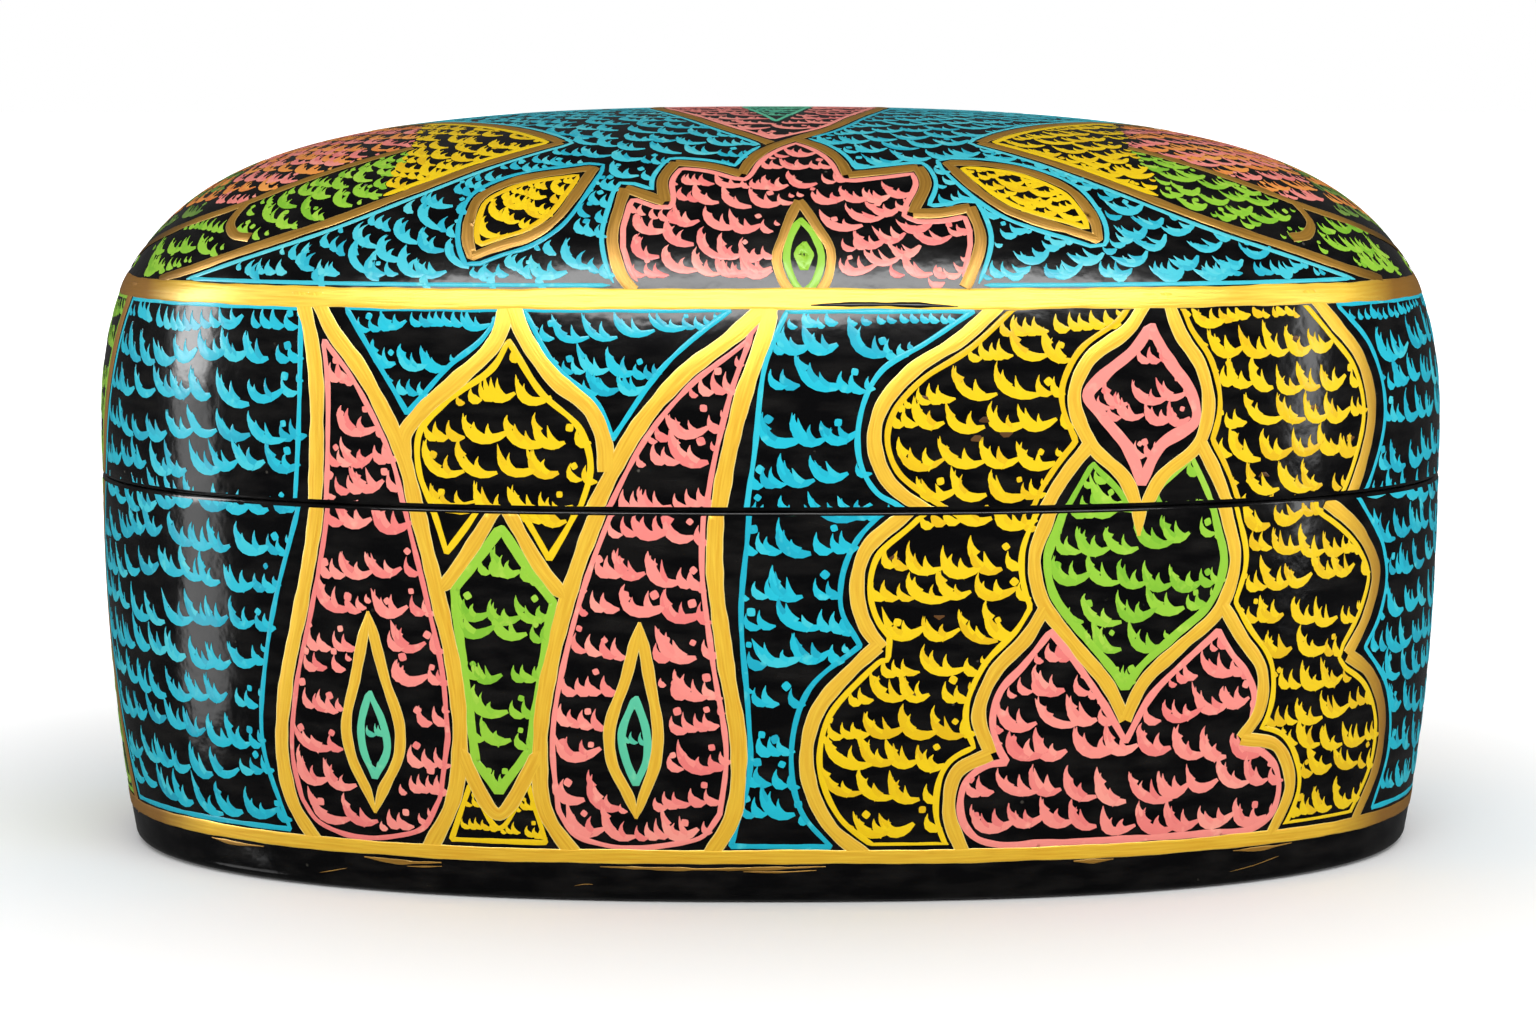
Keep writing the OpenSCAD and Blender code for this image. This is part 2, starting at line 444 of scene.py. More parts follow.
def wall_point(chart):
    """Point of the outer wall. The chart's first number is the way round the widest plan from
    the middle of the front, to the right, and its second is the height."""
    z = chart[..., 1]
    inset = wall_inset(z)
    x, y = oval(HALF_LENGTH - inset, HALF_DEPTH - inset, corner_number(z), turn_at(chart[..., 0]))
    return np.stack([x, y, z], -1)


def dome_point(chart):
    """Point of the dome above a place of the plan. The dome's share there is found by halving
    the range in which the place lies inside its oval. Beyond the shoulder, the place is
    drawn back to the shoulder's oval."""
    x, y = chart[..., 0], chart[..., 1]
    reach = np.abs(x / DOME_X) ** SHOULDER_CORNER + np.abs(y / DOME_Y) ** SHOULDER_CORNER
    reach = reach ** (1 / SHOULDER_CORNER)
    x, y = x / np.maximum(1, reach), y / np.maximum(1, reach)
    low, high = np.zeros_like(x), np.ones_like(x)
    for _ in range(30):
        middle = (low + high) / 2
        half_x = np.maximum(dome_line(middle)[..., 0], 1e-6)
        corner = dome_corner(half_x)
        inside = np.abs(x / half_x) ** corner + np.abs(y * DOME_X / DOME_Y / half_x) ** corner < 1
        low = np.where(inside, middle, low)
        high = np.where(inside, high, middle)
    return np.stack([x, y, dome_line(low)[..., 1]], -1)


def slopes(place, chart):
    """How the surface point moves with each number of the chart, by small differences."""
    nudge = 0.02
    both = np.array([[nudge, 0.0], [0.0, nudge]])
    return [(place(chart + side) - place(chart - side)) / (2 * nudge) for side in both]


def on_surface(place, chart, lift):
    """Chart points set on the surface and lifted off it along its normal."""
    first, second = slopes(place, chart)
    normal = np.cross(first, second)
    normal /= np.linalg.norm(normal, axis=-1, keepdims=True)
    return place(chart) + normal * lift[..., None]


def leftward(place, path):
    """Chart steps that go one millimetre to the left of a path, square to it on the surface."""
    first, second = slopes(place, path)
    heading = np.gradient(path, axis=0)
    ahead = first * heading[:, :1] + second * heading[:, 1:]
    turned = np.stack([-(ahead * second).sum(-1), (ahead * first).sum(-1)], -1)
    length = np.linalg.norm(first * turned[:, :1] + second * turned[:, 1:], axis=-1)
    return turned / np.maximum(length, 0.4 * np.linalg.norm(turned, axis=-1))[:, None]


def brush_line(*points, step=0.45):
    """Smooth line through given points: cubic spans whose slope at each point is the
    slope between its neighbours, sampled at even steps."""
    p = np.array(points, float)
    reach = reach_of(p)
    slope = np.gradient(p, reach, axis=0)
    at = np.linspace(0, reach[-1], max(3, int(reach[-1] / step) + 1))
    k = np.clip(np.searchsorted(reach, at, side="right") - 1, 0, len(p) - 2)
    span = (reach[k + 1] - reach[k])[:, None]
    t = (at[:, None] - reach[k][:, None]) / span
    return (
        (2 * t**3 - 3 * t**2 + 1) * p[k]
        + (t**3 - 2 * t**2 + t) * span * slope[k]
        + (3 * t**2 - 2 * t**3) * p[k + 1]
        + (t**3 - t**2) * span * slope[k + 1]
    )


def unsteady(rng, count, step, wave=9.0):
    """Slow unsteadiness of a hand, from -1 to 1: three sine waves along a line."""
    s = np.arange(count) * step
    waves = [np.sin(2 * np.pi * s / (wave * k) + rng.uniform(0, 7)) for k in (1, 0.53, 0.27)]
    return (waves[0] + 0.6 * waves[1] + 0.4 * waves[2]) / 2


def strip(rows, along, across, height, tint):
    """Patch of one painted strip: rows of chart points, how far along and across each lies,
    and its height. The two outermost lines are marked as the strip's edge."""
    shape = rows.shape[:2]
    edge = np.zeros(len(across))
    edge[[0, -1]] = 1
    return {
        "chart": rows[None],
        "lift": np.broadcast_to(height, shape)[None],
        "uv": np.stack(np.broadcast_arrays(along[:, None], across[None]), -1)[None],
        "edge": np.broadcast_to(edge, shape)[None],
        "tint": np.full((1, *shape), tint),
    }


def ribbon(rng, place, path, width, lift, ends=0.0, shaky=0.12, closed=False):
    """Brush line as one patch, five points across: the path's own line, with steps to both
    sides. Its middle stands prouder than its edges, and its width wavers. ends is the
    length over which each end narrows."""
    reach = reach_of(place(path))
    half = width / 2 * (1 + shaky * unsteady(rng, len(path), reach[-1] / len(path)))
    if ends:
        near = np.minimum(reach, reach[-1] - reach) / ends
        half = half * np.clip(near, 0.08, 1) ** 0.6
    side = leftward(place, path)
    if closed:
        side[0] = side[-1] = (side[1] + side[-2]) / 2
    across = np.array([-1, -0.8, 0, 0.8, 1])
    rows = path[:, None] + side[:, None] * (half[:, None] * across)[..., None]
    if closed:
        rows[-1] = rows[0]
    height = lift * np.array([0.45, 0.9, 1.0, 0.9, 0.45])
    return strip(rows, reach, across * width / 2, height, rng.uniform(0, 1))


def paint_piece(name, patches, place, material, body, keep=None):
    """One painted piece from patches. Where keep gives a lowest and a highest second chart
    number, the paint is cut there."""
    points, uvs, edges, tints, faces = [], [], [], [], []
    start = 0
    for patch in patches:
        chart = patch["chart"].copy()
        index = np.arange(chart.size // 2).reshape(chart.shape[:3])
        quads = np.stack(
            [index[:, :-1, :-1], index[:, 1:, :-1], index[:, 1:, 1:], index[:, :-1, 1:]], -1
        ).reshape(-1, 4)
        if keep is not None:
            z = chart[..., 1].ravel()
            lost = np.all(z[quads] <= keep[0], axis=1) | np.all(z[quads] >= keep[1], axis=1)
            quads = quads[~lost]
            chart[..., 1] = np.clip(chart[..., 1], *keep)
        if not len(quads):
            continue
        used, quads = np.unique(quads, return_inverse=True)
        points.append(on_surface(place, chart.reshape(-1, 2)[used], patch["lift"].ravel()[used]))
        uvs.append(patch["uv"].reshape(-1, 2)[used])
        edges.append(patch["edge"].ravel()[used])
        tints.append(patch["tint"].ravel()[used])
        faces.append(quads.reshape(-1, 4) + start)
        start += len(used)
    faces = np.concatenate(faces)
    piece = new_piece(name, np.concatenate(points), faces.tolist(), material)
    layer = piece.data.uv_layers.new(name="brush")
    layer.data.foreach_set("uv", (np.concatenate(uvs)[faces.ravel()] * MM).ravel())
    for label, values in (("edge", edges), ("tint", tints)):
        attribute = piece.data.attributes.new(label, "FLOAT", "POINT")
        attribute.data.foreach_set("value", np.concatenate(values).astype(np.float32))
    piece.data.shade_smooth()
    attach(piece, body)


def bronze(name, deep, bright, edge_highlight, brown, metal, rough):
    """Bronze-gold paint: hair streaks along the brush line, slow clouds, a painted highlight
    along its thin edges, and a bump from the same streaks. Towards the box's two ends it is
    mixed to a darker brown: painted shade, where the gold turns away from the light."""
    made, tree, shader = new_material(name)
    where = node(tree, "ShaderNodeUVMap", uv_map="brush").outputs["UV"]
    drawn = node(tree, "ShaderNodeMapping", {"Vector": where, "Scale": (160, 4200, 1)})
    hair = noise(tree, drawn.outputs["Vector"], 1, 3)
    skin = placed(tree, HAND_LAID)
    colour = blend(tree, ramp(tree, hair, 0.3, 0.72), tone(*deep), tone(*bright))
    cloud = ramp(tree, skin["Cloud"], 0.3, 0.75)
    colour = blend(tree, cloud, colour, blend(tree, 0.5, colour, tone(*bright)))
    # Paler along the strip's two edges: a painted highlight.
    thin = node(tree, "ShaderNodeAttribute", attribute_name="edge").outputs["Fac"]
    colour = blend(tree, ramp(tree, thin, 0.35, 0.9), colour, tone(*edge_highlight))
    # Darker brown far out towards either end of the box: painted shade.
    apart = node(tree, "ShaderNodeSeparateXYZ", {"Vector": on_piece(tree)}).outputs["X"]
    out = node(tree, "ShaderNodeMath", {0: apart}, operation="ABSOLUTE").outputs[0]
    fill(tree, shader, {
        "Base Color": blend(tree, ramp(tree, out, 0.0600, 0.0665), colour, tone(*brown)),
        "Metallic": metal,
        "Roughness": ramp(tree, hair, rough * 0.8, rough * 1.25, "To"),
        "Normal": bump(tree, skin["Height"], 0.00012, Normal=bump(tree, hair, 0.00004)),
    })
    return made


# Each gold's fourth colour is its painted edge highlight, and its fifth is the painted shade at the box's
# ends.
BAND_GOLD = bronze(
    "band_gold", (234, 178, 36), (255, 216, 72), (255, 226, 130), (150, 104, 32), 0.15, 0.34
)
LINE_GOLD = bronze(
    "line_gold", (234, 168, 24), (255, 210, 58), (255, 234, 150), (158, 110, 38), 0.25, 0.4
)
# A darker copy of the line gold. On the dome it is painted shade, where the gold faces up and away from
# the light. The heel's smears and scratches take it as their own dull bronze.
DULL_AND_SHADED_GOLD = bronze(
    "dome_gold", (136, 96, 24), (190, 140, 52), (222, 184, 104), (112, 80, 24), 0.4, 0.36
)

# Paint on the walls is cut off beside the seam and above the shoulder, at these heights.
LID_KEEP = (SEAM + 0.45, 62.8)
BASE_KEEP = (0.0, SEAM - 0.45)

BAND_Z = 62.35
BAND_WIDTH = 2.1
FOOT_BAND_Z = 4.85
FOOT_BAND_WIDTH = 1.5

WHOLE_WAY = np.linspace(-LOOP / 2, LOOP / 2, 701)


def shoulder_point(chart):
    """Point on the shoulder: the wall below it, and above it the dome's own line, whose rise
    the chart's second number counts."""
    z = chart[..., 1]
    line = dome_line(np.linspace(0, 0.3, 400))
    half_x = np.interp(z, line[:, 1], line[:, 0])
    above = z > SHOULDER
    inset = wall_inset(np.minimum(z, SHOULDER))
    x, y = oval(
        np.where(above, half_x, HALF_LENGTH - inset),
        np.where(above, half_x * DOME_Y / DOME_X, HALF_DEPTH - inset),
        np.where(above, dome_corner(half_x), corner_number(np.minimum(z, SHOULDER))),
        turn_at(chart[..., 0]),
    )
    return np.stack([x, y, z], -1)


def ring_band(z, width, lift, wobble):
    """Closed band with nine points across. Its line and its edges waver as a brush does, by
    sines that close on themselves."""
    k = 2 * np.pi * (WHOLE_WAY / LOOP)
    waver = np.sin(3 * k + 1) + 0.6 * np.sin(7 * k + 2) + 0.4 * np.sin(17 * k)
    edge_waver = 1 + 0.035 * np.sin(23 * k + 1) + 0.03 * np.sin(41 * k) + 0.02 * np.sin(97 * k)
    across = np.array([-1, -0.93, -0.7, -0.35, 0, 0.35, 0.7, 0.93, 1])
    line = np.stack([WHOLE_WAY, z + wobble * waver], -1)
    rows = np.repeat(line[:, None], len(across), axis=1)
    rows[..., 1] += width / 2 * edge_waver[:, None] * across
    height = lift * np.array([0.4, 0.9, 1, 1, 1, 1, 1, 0.9, 0.4])
    return strip(rows, WHOLE_WAY, across * width / 2, height, 0)


shoulder_band = ring_band(BAND_Z, BAND_WIDTH, 0.10, 0.05)
paint_piece("shoulder_band", [shoulder_band], shoulder_point, BAND_GOLD, "lid")
foot_band = ring_band(FOOT_BAND_Z, FOOT_BAND_WIDTH, 0.10, 0.06)
paint_piece("foot_band", [foot_band], wall_point, LINE_GOLD, "base")

# The brush ran dry once under the shoulder band, and it strayed below the foot band where
# the box was turned in the hand. Hair scratches below show the pulp through the black.
rng = np.random.default_rng(3)
bare_patch = brush_line((2.5, 61.75), (6, 61.85), (11, 61.8), (15.6, 61.6))
dry = ribbon(rng, wall_point, bare_patch, 0.62, 0.118, ends=4.0, shaky=0.3)
paint_piece("shoulder_band_dry_patch", [dry], wall_point, BLACK_LACQUER, "lid")
smears = [
    ribbon(rng, wall_point, brush_line(*line), width, 0.06, ends=3.5, shaky=0.5)
    for line, width in (
        ([(-45, 3.7), (-41, 3.4), (-36, 3.6)], 0.5),
        ([(-40, 3.0), (-38, 3.05), (-36, 3.2)], 0.25),
        ([(-18.5, 3.75), (-10, 3.6), (0, 3.7), (6, 3.9)], 0.3),
        ([(-3, 3.35), (1, 3.3), (5, 3.5)], 0.22),
        ([(33, 3.9), (35, 3.8), (37.5, 3.9)], 0.55),
        ([(52, 3.8), (56, 3.7), (60, 3.9)], 0.4),
        ([(-66, 3.8), (-63, 3.6), (-58, 3.7)], 0.4),
    )
]
smears += [
    ribbon(rng, wall_point, brush_line(*line), 0.07, 0.02, ends=1.2, shaky=0.4)
    for line in (
        [(52, 1.5), (55, 1.9), (58.4, 2.6)],
        [(-50.9, 1.5), (-49, 1.9), (-47.3, 2.3)],
        [(-21.4, 1.6), (-20.4, 1.8), (-19.4, 1.8)],
    )
]
paint_piece("foot_band_smears", smears, wall_point, DULL_AND_SHADED_GOLD, "base")

# ------------------------------------------------------------------ the left cyan field
# Body-colour paint on the black lacquer, under the same varnish: a thin border beside the
# gold, and rows of small curved strokes with their horns up. The strokes stand in chains.


def paint(name, colour, deep, pale):
    """Body-colour paint under varnish: each stroke's own tint, slow clouds, a paler tone
    where the coat is thick, and the hand-laid skin as bump."""
    made, tree, shader = new_material(name)
    skin = placed(tree, HAND_LAID)
    tint = node(tree, "ShaderNodeAttribute", attribute_name="tint").outputs["Fac"]
    colour = blend(tree, ramp(tree, tint, 0.0, 0.45), tone(*deep), tone(*colour))
    colour = blend(tree, ramp(tree, tint, 0.8, 1.3), colour, tone(*pale))
    thick = ramp(tree, noise(tree, on_piece(tree), 700, 2), 0.62, 0.85)
    colour = blend(tree, thick, colour, tone(*pale))
    normal = bump(tree, skin["Height"], 0.00022)
    fill(tree, shader, {
        "Base Color": colour,
        "Roughness": 0.42,
        "Specular IOR Level": 0.15,
        "Coat Weight": 0.25,
        "Coat Roughness": 0.14,
        "Normal": normal,
        "Coat Normal": normal,
    })
    return made


def lapped(*curves):
    """Closed outline from curves that follow each other."""
    return np.concatenate([brush_line(*c) for c in curves])


def closed(*curves):
    """Closed outline of curves that each start where the one before ends, and whose first
    starts where the last ends."""
    before = (curves[-1], *curves)
    return lapped(*([last[-1], *curve] for last, curve in zip(before, curves)))


def beside(place, loop, reach):
    """Outline that runs beside a closed one at a distance, inside it where the distance is
    above nothing. Samples that come nearer than that to the outline are left out, so that
    corners stay sharp."""
    following = np.roll(loop, -1, axis=0)
    area = (loop[:, 0] * following[:, 1] - following[:, 0] * loop[:, 1]).sum()
    loop = loop[np.linalg.norm(following - loop, axis=1) > 0.02]
    round_it = np.concatenate([loop[-2:], loop, loop[:2]])
    side = leftward(place, round_it)[2:-2] * np.sign(area)
    moved = loop + side * reach
    far = np.linalg.norm(place(moved)[:, None] - place(loop)[None], axis=-1).min(axis=1)
    moved = moved[far > 0.97 * abs(reach)]
    return evened(np.concatenate([moved, moved[:1]]))[:-1]


def sampled(path, reach, at):
    """Points of a line at distances along it."""
    return np.stack([np.interp(at, reach, path[:, 0]), np.interp(at, reach, path[:, 1])], -1)


def evened(path, step=0.5):
    """The same line sampled at even steps."""
    reach = reach_of(path)
    return sampled(path, reach, np.linspace(0, reach[-1], max(3, int(reach[-1] / step) + 1)))


PAINT_LIFT = 0.05


def border(rng, place, loop, width=0.55, lift=PAINT_LIFT):
    """Thin painted line round a closed outline."""
    path = np.concatenate([loop, loop[:1]])
    return ribbon(rng, place, path, width, lift, shaky=0.2, closed=True)


def within(points, loop):
    """Whether points lie inside a closed outline: a line to the right crosses it an odd
    number of times."""
    x, y = points[..., 0].reshape(-1, 1), points[..., 1].reshape(-1, 1)
    a, b = loop, np.roll(loop, -1, axis=0)
    drop = b[:, 1] - a[:, 1]
    crosses = (a[:, 1] > y) != (b[:, 1] > y)
    at = a[:, 0] + (y - a[:, 1]) / np.where(drop == 0, 1e-9, drop) * (b[:, 0] - a[:, 0])
    odd = (crosses & (x < at)).sum(axis=1) % 2 == 1
    return odd.reshape(points.shape[:-1])


def bare_of(points, outlines):
    """Whether points lie outside all of the outlines."""
    inside = np.zeros(points.shape[:-1], bool)
    for outline in outlines:
        inside |= within(points, outline)
    return ~inside


def strokes(spot, right, up, bones, half, tint):
    """Short brush strokes as patches of three points across. Each follows a cubic curve
    given by four bones in its own right and up steps, and half is its half width along it."""
    k = np.linspace(0, 1, half.shape[-1])[None, :, None]
    p0, p1, p2, p3 = (bones[:, None, i] for i in range(4))
    middle = cubic(k, p0, p1, p2, p3)
    ahead = (1 - k) ** 2 * (p1 - p0) + 2 * k * (1 - k) * (p2 - p1) + k**2 * (p3 - p2)
    ahead /= np.linalg.norm(ahead, axis=-1, keepdims=True)
    left = np.stack([-ahead[..., 1], ahead[..., 0]], -1) * half[..., None]
    local = middle[:, :, None] + left[:, :, None] * np.array([-1, 0, 1.0])[:, None]
    chart = spot[:, None, None] + local[..., :1] * right[:, None, None]
    chart = chart + local[..., 1:] * up[:, None, None]
    shape = chart.shape[:3]
    return {
        "chart": chart,
        "lift": np.broadcast_to(PAINT_LIFT * np.array([0.35, 1.0, 0.35]), shape),
        "uv": local.copy(),
        "edge": np.zeros(shape),
        "tint": np.broadcast_to(tint[:, None, None], shape),
    }


ARC_SHAPE = np.array([0.04, 0.3, 0.58, 0.86, 1.0, 1.0, 0.92, 0.72, 0.35])
HORN_SHAPE = np.array([0.05, 0.36, 0.68, 1.0, 1.25])
COMMA_SHAPE = np.array([0.04, 0.3, 0.62, 0.95, 1.0, 0.75, 0.2])
DOT_SHAPE = np.array([0.15, 0.72, 1.0, 0.72, 0.15])
ARC = np.array([[-0.1, 2.75], [-0.6, 0.8], [1.4, -0.8], [3.95, 0.8]])
HORN = np.array([[-0.15, 1.95], [-0.4, 1.3], [-0.25, 0.6], [0.4, 0.05]])
COMMA = np.array([[-0.1, 1.95], [-0.5, 0.9], [0.1, -0.15], [1.4, 0.25]])


def along_bones(bones, k):
    """Points at shares k of cubic curves given by four bones each."""
    return cubic(k[..., None], *(bones[:, None, i] for i in range(4)))


SCALLOP = 3.9


def stroke_rows(rng, place, rows, loop, holes=(), size=1.0, dots=True, body=1.0, also=None):
    """Rows of strokes inside an outline, outside its holes, and inside a second outline where
    also gives one. Along each row hang scallops: an arc that starts as a tall horn, and low
    horns on its upper side. Where an arc would cross the outline, single commas stand in its
    place, small enough to fit. A dot stands near a row's ends."""

    def free(points):
        """Whether points lie on the ground that is to be filled."""
        inside = within(points, loop) & bare_of(points, holes)
        return inside if also is None else inside & within(points, also)

    def fitting(spot, right, up, bones, shares):
        """Whether all of a stroke's middle line lies in the free ground."""
        local = along_bones(bones, np.array(shares))
        return free(
            spot[:, None] + local[..., :1] * right[:, None] + local[..., 1:] * up[:, None]
        ).all(axis=1)

    found = []

    def lay(spot, right, up, bones, half, mask):
        """Strokes that fit are laid down."""
        if mask.any():
            chosen = (v[mask] for v in (spot, right, up, bones, half))
            found.append(strokes(*chosen, rng.random(mask.sum())))

    for path in rows:
        hit = free(path)
        if not hit.any():
            continue
        reach = reach_of(place(path))
        first, second = slopes(place, path)
        heading = np.gradient(path, axis=0)
        ahead = np.linalg.norm(first * heading[:, :1] + second * heading[:, 1:], axis=-1)
        right = heading / np.maximum(ahead, 1e-9)[:, None]
        up = leftward(place, path)
        begin = reach[np.flatnonzero(hit)[0]]
        lengths = rng.uniform(2.9, 4.5, int(reach[-1] / 2.9 / size) + 3) * size
        starts = np.cumsum(lengths) - lengths[0] + (begin + rng.uniform(0, 0.8)) % SCALLOP - SCALLOP
        near = (starts > -4) & (starts < reach[-1])
        starts, lengths = starts[near], lengths[near]
        many = len(starts)

        def at(s):
            """Chart place, right step and up step at distances along the row."""
            return [sampled(v, reach, s) for v in (path, right, up)]

        stretch = np.stack([lengths / SCALLOP, size * rng.uniform(0.8, 1.16, many)], -1)
        tilt = rng.uniform(-0.34, 0.2, many)
        spot, e1, e2 = at(starts)
        arcs = ARC * stretch[:, None]
        arcs[..., 1] += tilt[:, None] * (arcs[..., 0] - 1.9)
        arcs[:, 0, 0] += rng.uniform(-0.35, 0.3, many) * size
        half = ARC_SHAPE * (0.54 * rng.uniform(0.85, 1.15, many) * size * body)[:, None]
        whole = fitting(spot, e1, e2, arcs, [0.04, 0.3, 0.55, 0.75, 0.92])
        whole &= (starts > 0) & (starts + 3 < reach[-1])
        lay(spot, e1, e2, arcs, half, whole)
        if whole.any():
            share = np.array([0.31, 0.54, 0.77]) + rng.uniform(-0.04, 0.04, (whole.sum(), 3))
            low = along_bones(arcs[whole], share - 0.03).reshape(-1, 2)
            many_horns = len(low)
            horns = HORN * size * rng.uniform(0.72, 1.22, (many_horns, 1, 2))
            horns = horns + low[:, None] + (0.0, -0.1 * size)
            horns[:, 0, 0] += rng.uniform(-0.45, 0.25, many_horns) * size
            wide = HORN_SHAPE * (0.44 * rng.uniform(0.75, 1.25, many_horns) * size * body)[:, None]
            owner = np.repeat(np.flatnonzero(whole), 3)
            rooted = [v[owner] for v in (spot, e1, e2)]
            fits = fitting(*rooted, horns, [0.05, 0.5])
            fits &= rng.random(many_horns) < np.tile([1.0, 1.0, 0.9], many_horns // 3)
            lay(*rooted, horns, wide, fits)
        broken = np.flatnonzero(~whole)
        if len(broken):
            offset = np.array([0.05, 0.38, 0.7]) + rng.uniform(-0.05, 0.05, (len(broken), 3))
            s = (starts[broken, None] + offset * lengths[broken, None]).ravel()
            s = s[(s > 0) & (s < reach[-1])]
            spot, e1, e2 = at(s)
            bones = COMMA * size * rng.uniform(0.85, 1.15, (len(s), 1, 2))
            half = COMMA_SHAPE * (0.50 * rng.uniform(0.85, 1.15, len(s)) * size * body)[:, None]
            for shrink, raised in ((1.0, 0.0), (0.8, -0.1), (0.62, 0.5), (0.5, -0.3), (0.4, 1.3)):
                if not len(spot):
                    break
                small = bones * shrink + (0, raised * size)
                fits = fitting(spot, e1, e2, small, [0.03, 0.35, 0.7])
                lay(spot, e1, e2, small, half * shrink**0.5, fits)
                spot, e1, e2, bones, half = (v[~fits] for v in (spot, e1, e2, bones, half))
        ends = np.flatnonzero(np.diff(hit.astype(int)))
        if dots and len(ends):
            inward = np.where(hit[np.minimum(ends + 1, len(hit) - 1)], 1.0, -1.0)
            aside = (inward * rng.uniform(0.9, 1.5, len(ends)))[:, None]
            spot = path[ends] + right[ends] * aside
            spot = spot + up[ends] * rng.uniform(1.5, 2.6, len(ends))[:, None] * size
            r = rng.uniform(0.34, 0.52, len(ends)) * size
            turn = rng.uniform(0, np.pi, len(ends))
            line = np.array([-1, -0.33, 0.33, 1.0])
            bones = np.stack([np.cos(turn), np.sin(turn)], -1)[:, None] * line[None, :, None]
            bones = bones * r[:, None, None]
            fits = free(spot) & (rng.random(len(ends)) < 0.8)
            lay(spot, right[ends], up[ends], bones, r[:, None] * DOT_SHAPE, fits)
    return found


def stretches(rng, place, loop, kept, width):
    """Ribbons along the stretches of a closed outline where kept is true."""
    start = np.flatnonzero(~kept)
    if not len(start):
        return [border(rng, place, loop, width)]
    path, kept = np.roll(loop, -start[0], axis=0), np.roll(kept, -start[0])
    cuts = np.flatnonzero(np.diff(kept.astype(int)))
    runs = np.split(np.arange(len(path)), cuts + 1)
    return [
        ribbon(rng, place, path[run], width, PAINT_LIFT, ends=0.8)
        for run in runs
        if kept[run[0]] and len(run) > 3
    ]


ROW_PITCH = 4.0


def wall_rows(rng, loop, start=7.4, pitch=ROW_PITCH):
    """Level rows across an outline, each with its own slow waver."""
    low, high = loop.min(axis=0), loop.max(axis=0)
    along = np.arange(low[0] - 3, high[0] + 3, 0.5)
    rows = []
    for z in np.arange(start - pitch, high[1] + 1, pitch):
        if z > low[1] - 4:
            waver = 0.55 * np.sin(along / 8 + rng.uniform(0, 7)) + rng.uniform(-0.3, 0.3)
            waver += 0.35 * np.sin(along / 3.3 + rng.uniform(0, 7))
            rows.append(np.stack([along, z + waver], -1))
    return rows


def round_back(path):
    """The same line on the back wall, mirrored from front to back."""
    return path * (-1, 1) + (LOOP / 2, 0)


def wall_field(rng, name, material, lid_loop, base_loop, holes=(), start=7.4, reach=0,
               width=0.55, size=1.0, sides=(0, 1), pitch=ROW_PITCH):
    """A field of one colour on the lid's wall and the base's wall, front and back: a border
    line on its outline or at a reach inside it, and rows of strokes inside that. Holes are
    left bare."""
    for body, loop, keep in (("lid", lid_loop, LID_KEEP), ("base", base_loop, BASE_KEEP)):
        if loop is None:
            continue
        patches = []
        for side in sides:
            edge_line = round_back(loop) if side else loop
            bare = [round_back(h) if side else h for h in holes]
            if reach:
                edge_line = beside(wall_point, edge_line, reach)
            patches.append(border(rng, wall_point, edge_line, width))
            rows = wall_rows(rng, edge_line, start, pitch)
            patches += stroke_rows(rng, wall_point, rows, edge_line, bare, size)
        paint_piece(f"{name}_{body}", patches, wall_point, material, body, keep)


GOLD_LIFT = 0.08


def wall_gold(rng, name, lid_lines=(), base_lines=(), width=1.7, ends=0.0):
    """Gold lines of one motif on the lid's wall and the base's wall, front and back. Each
    next line lies a little prouder, as it was drawn over the one before."""
    for body, lines, keep in (("lid", lid_lines, LID_KEEP), ("base", base_lines, BASE_KEEP)):
        patches = []
        for side in (0, 1):
            for count, line in enumerate(lines):
                path = round_back(brush_line(*line)) if side else brush_line(*line)
                lift = GOLD_LIFT + 0.007 * count
                patches.append(ribbon(rng, wall_point, path, width, lift, ends))
        if patches:
            paint_piece(f"{name}_{body}", patches, wall_point, LINE_GOLD, body, keep)


CYAN = paint("cyan_paint", (20, 184, 206), (8, 160, 186), (92, 214, 218))
SALMON = paint("salmon_paint", (240, 140, 130), (230, 118, 114), (250, 174, 154))
YELLOW = paint("yellow_paint", (234, 197, 0), (222, 178, 0), (242, 206, 10))
LIME = paint("lime_paint", (145, 199, 54), (120, 182, 42), (180, 214, 80))
TEAL = paint("teal_paint", (90, 196, 156), (64, 176, 150), (140, 214, 170))
ORANGE = paint("orange_paint", (238, 150, 66), (226, 126, 60), (244, 180, 90))
OLIVE = paint("olive_paint", (112, 150, 62), (86, 128, 58), (150, 176, 80))

rng = np.random.default_rng(11)
left_end_lid = [(-80.5, 64), (-84, 52), (-88, 41), (-89, 37)]
left_end_base = [(-86, 45), (-88, 41), (-91, 31), (-88, 18), (-84, 4)]
wall_gold(rng, "left_end_gold", [left_end_lid], [left_end_base])
cyan_left_lid = lapped(
    [(-48, 61.2), (-48.5, 56.5), (-49.5, 48.5), (-50.5, 41.5), (-51, 37)],
    [(-51, 37), (-86, 37)],
    [(-87.5, 37), (-86.5, 41), (-82.5, 52), (-79.5, 61.2)],
    [(-79.5, 61.2), (-48, 61.2)],
)
cyan_left_base = closed(
    [(-50.2, 40.5), (-51.2, 37.5), (-53.4, 31), (-55.2, 24), (-56.4, 15), (-54, 6)], [(-82.5, 6)],
    [(-86.5, 18), (-89.5, 31), (-86.5, 41), (-84.5, 45)], [(-49.5, 45)],
)
wall_field(rng, "cyan_left", CYAN, cyan_left_lid, cyan_left_base)

# ------------------------------------------------------------------ the two long pods
# A pair of leaning pods in salmon, from the shoulder band down to the foot band, each with a
# gold drop in its foot. The gold lines were drawn first, then the colour inside them.

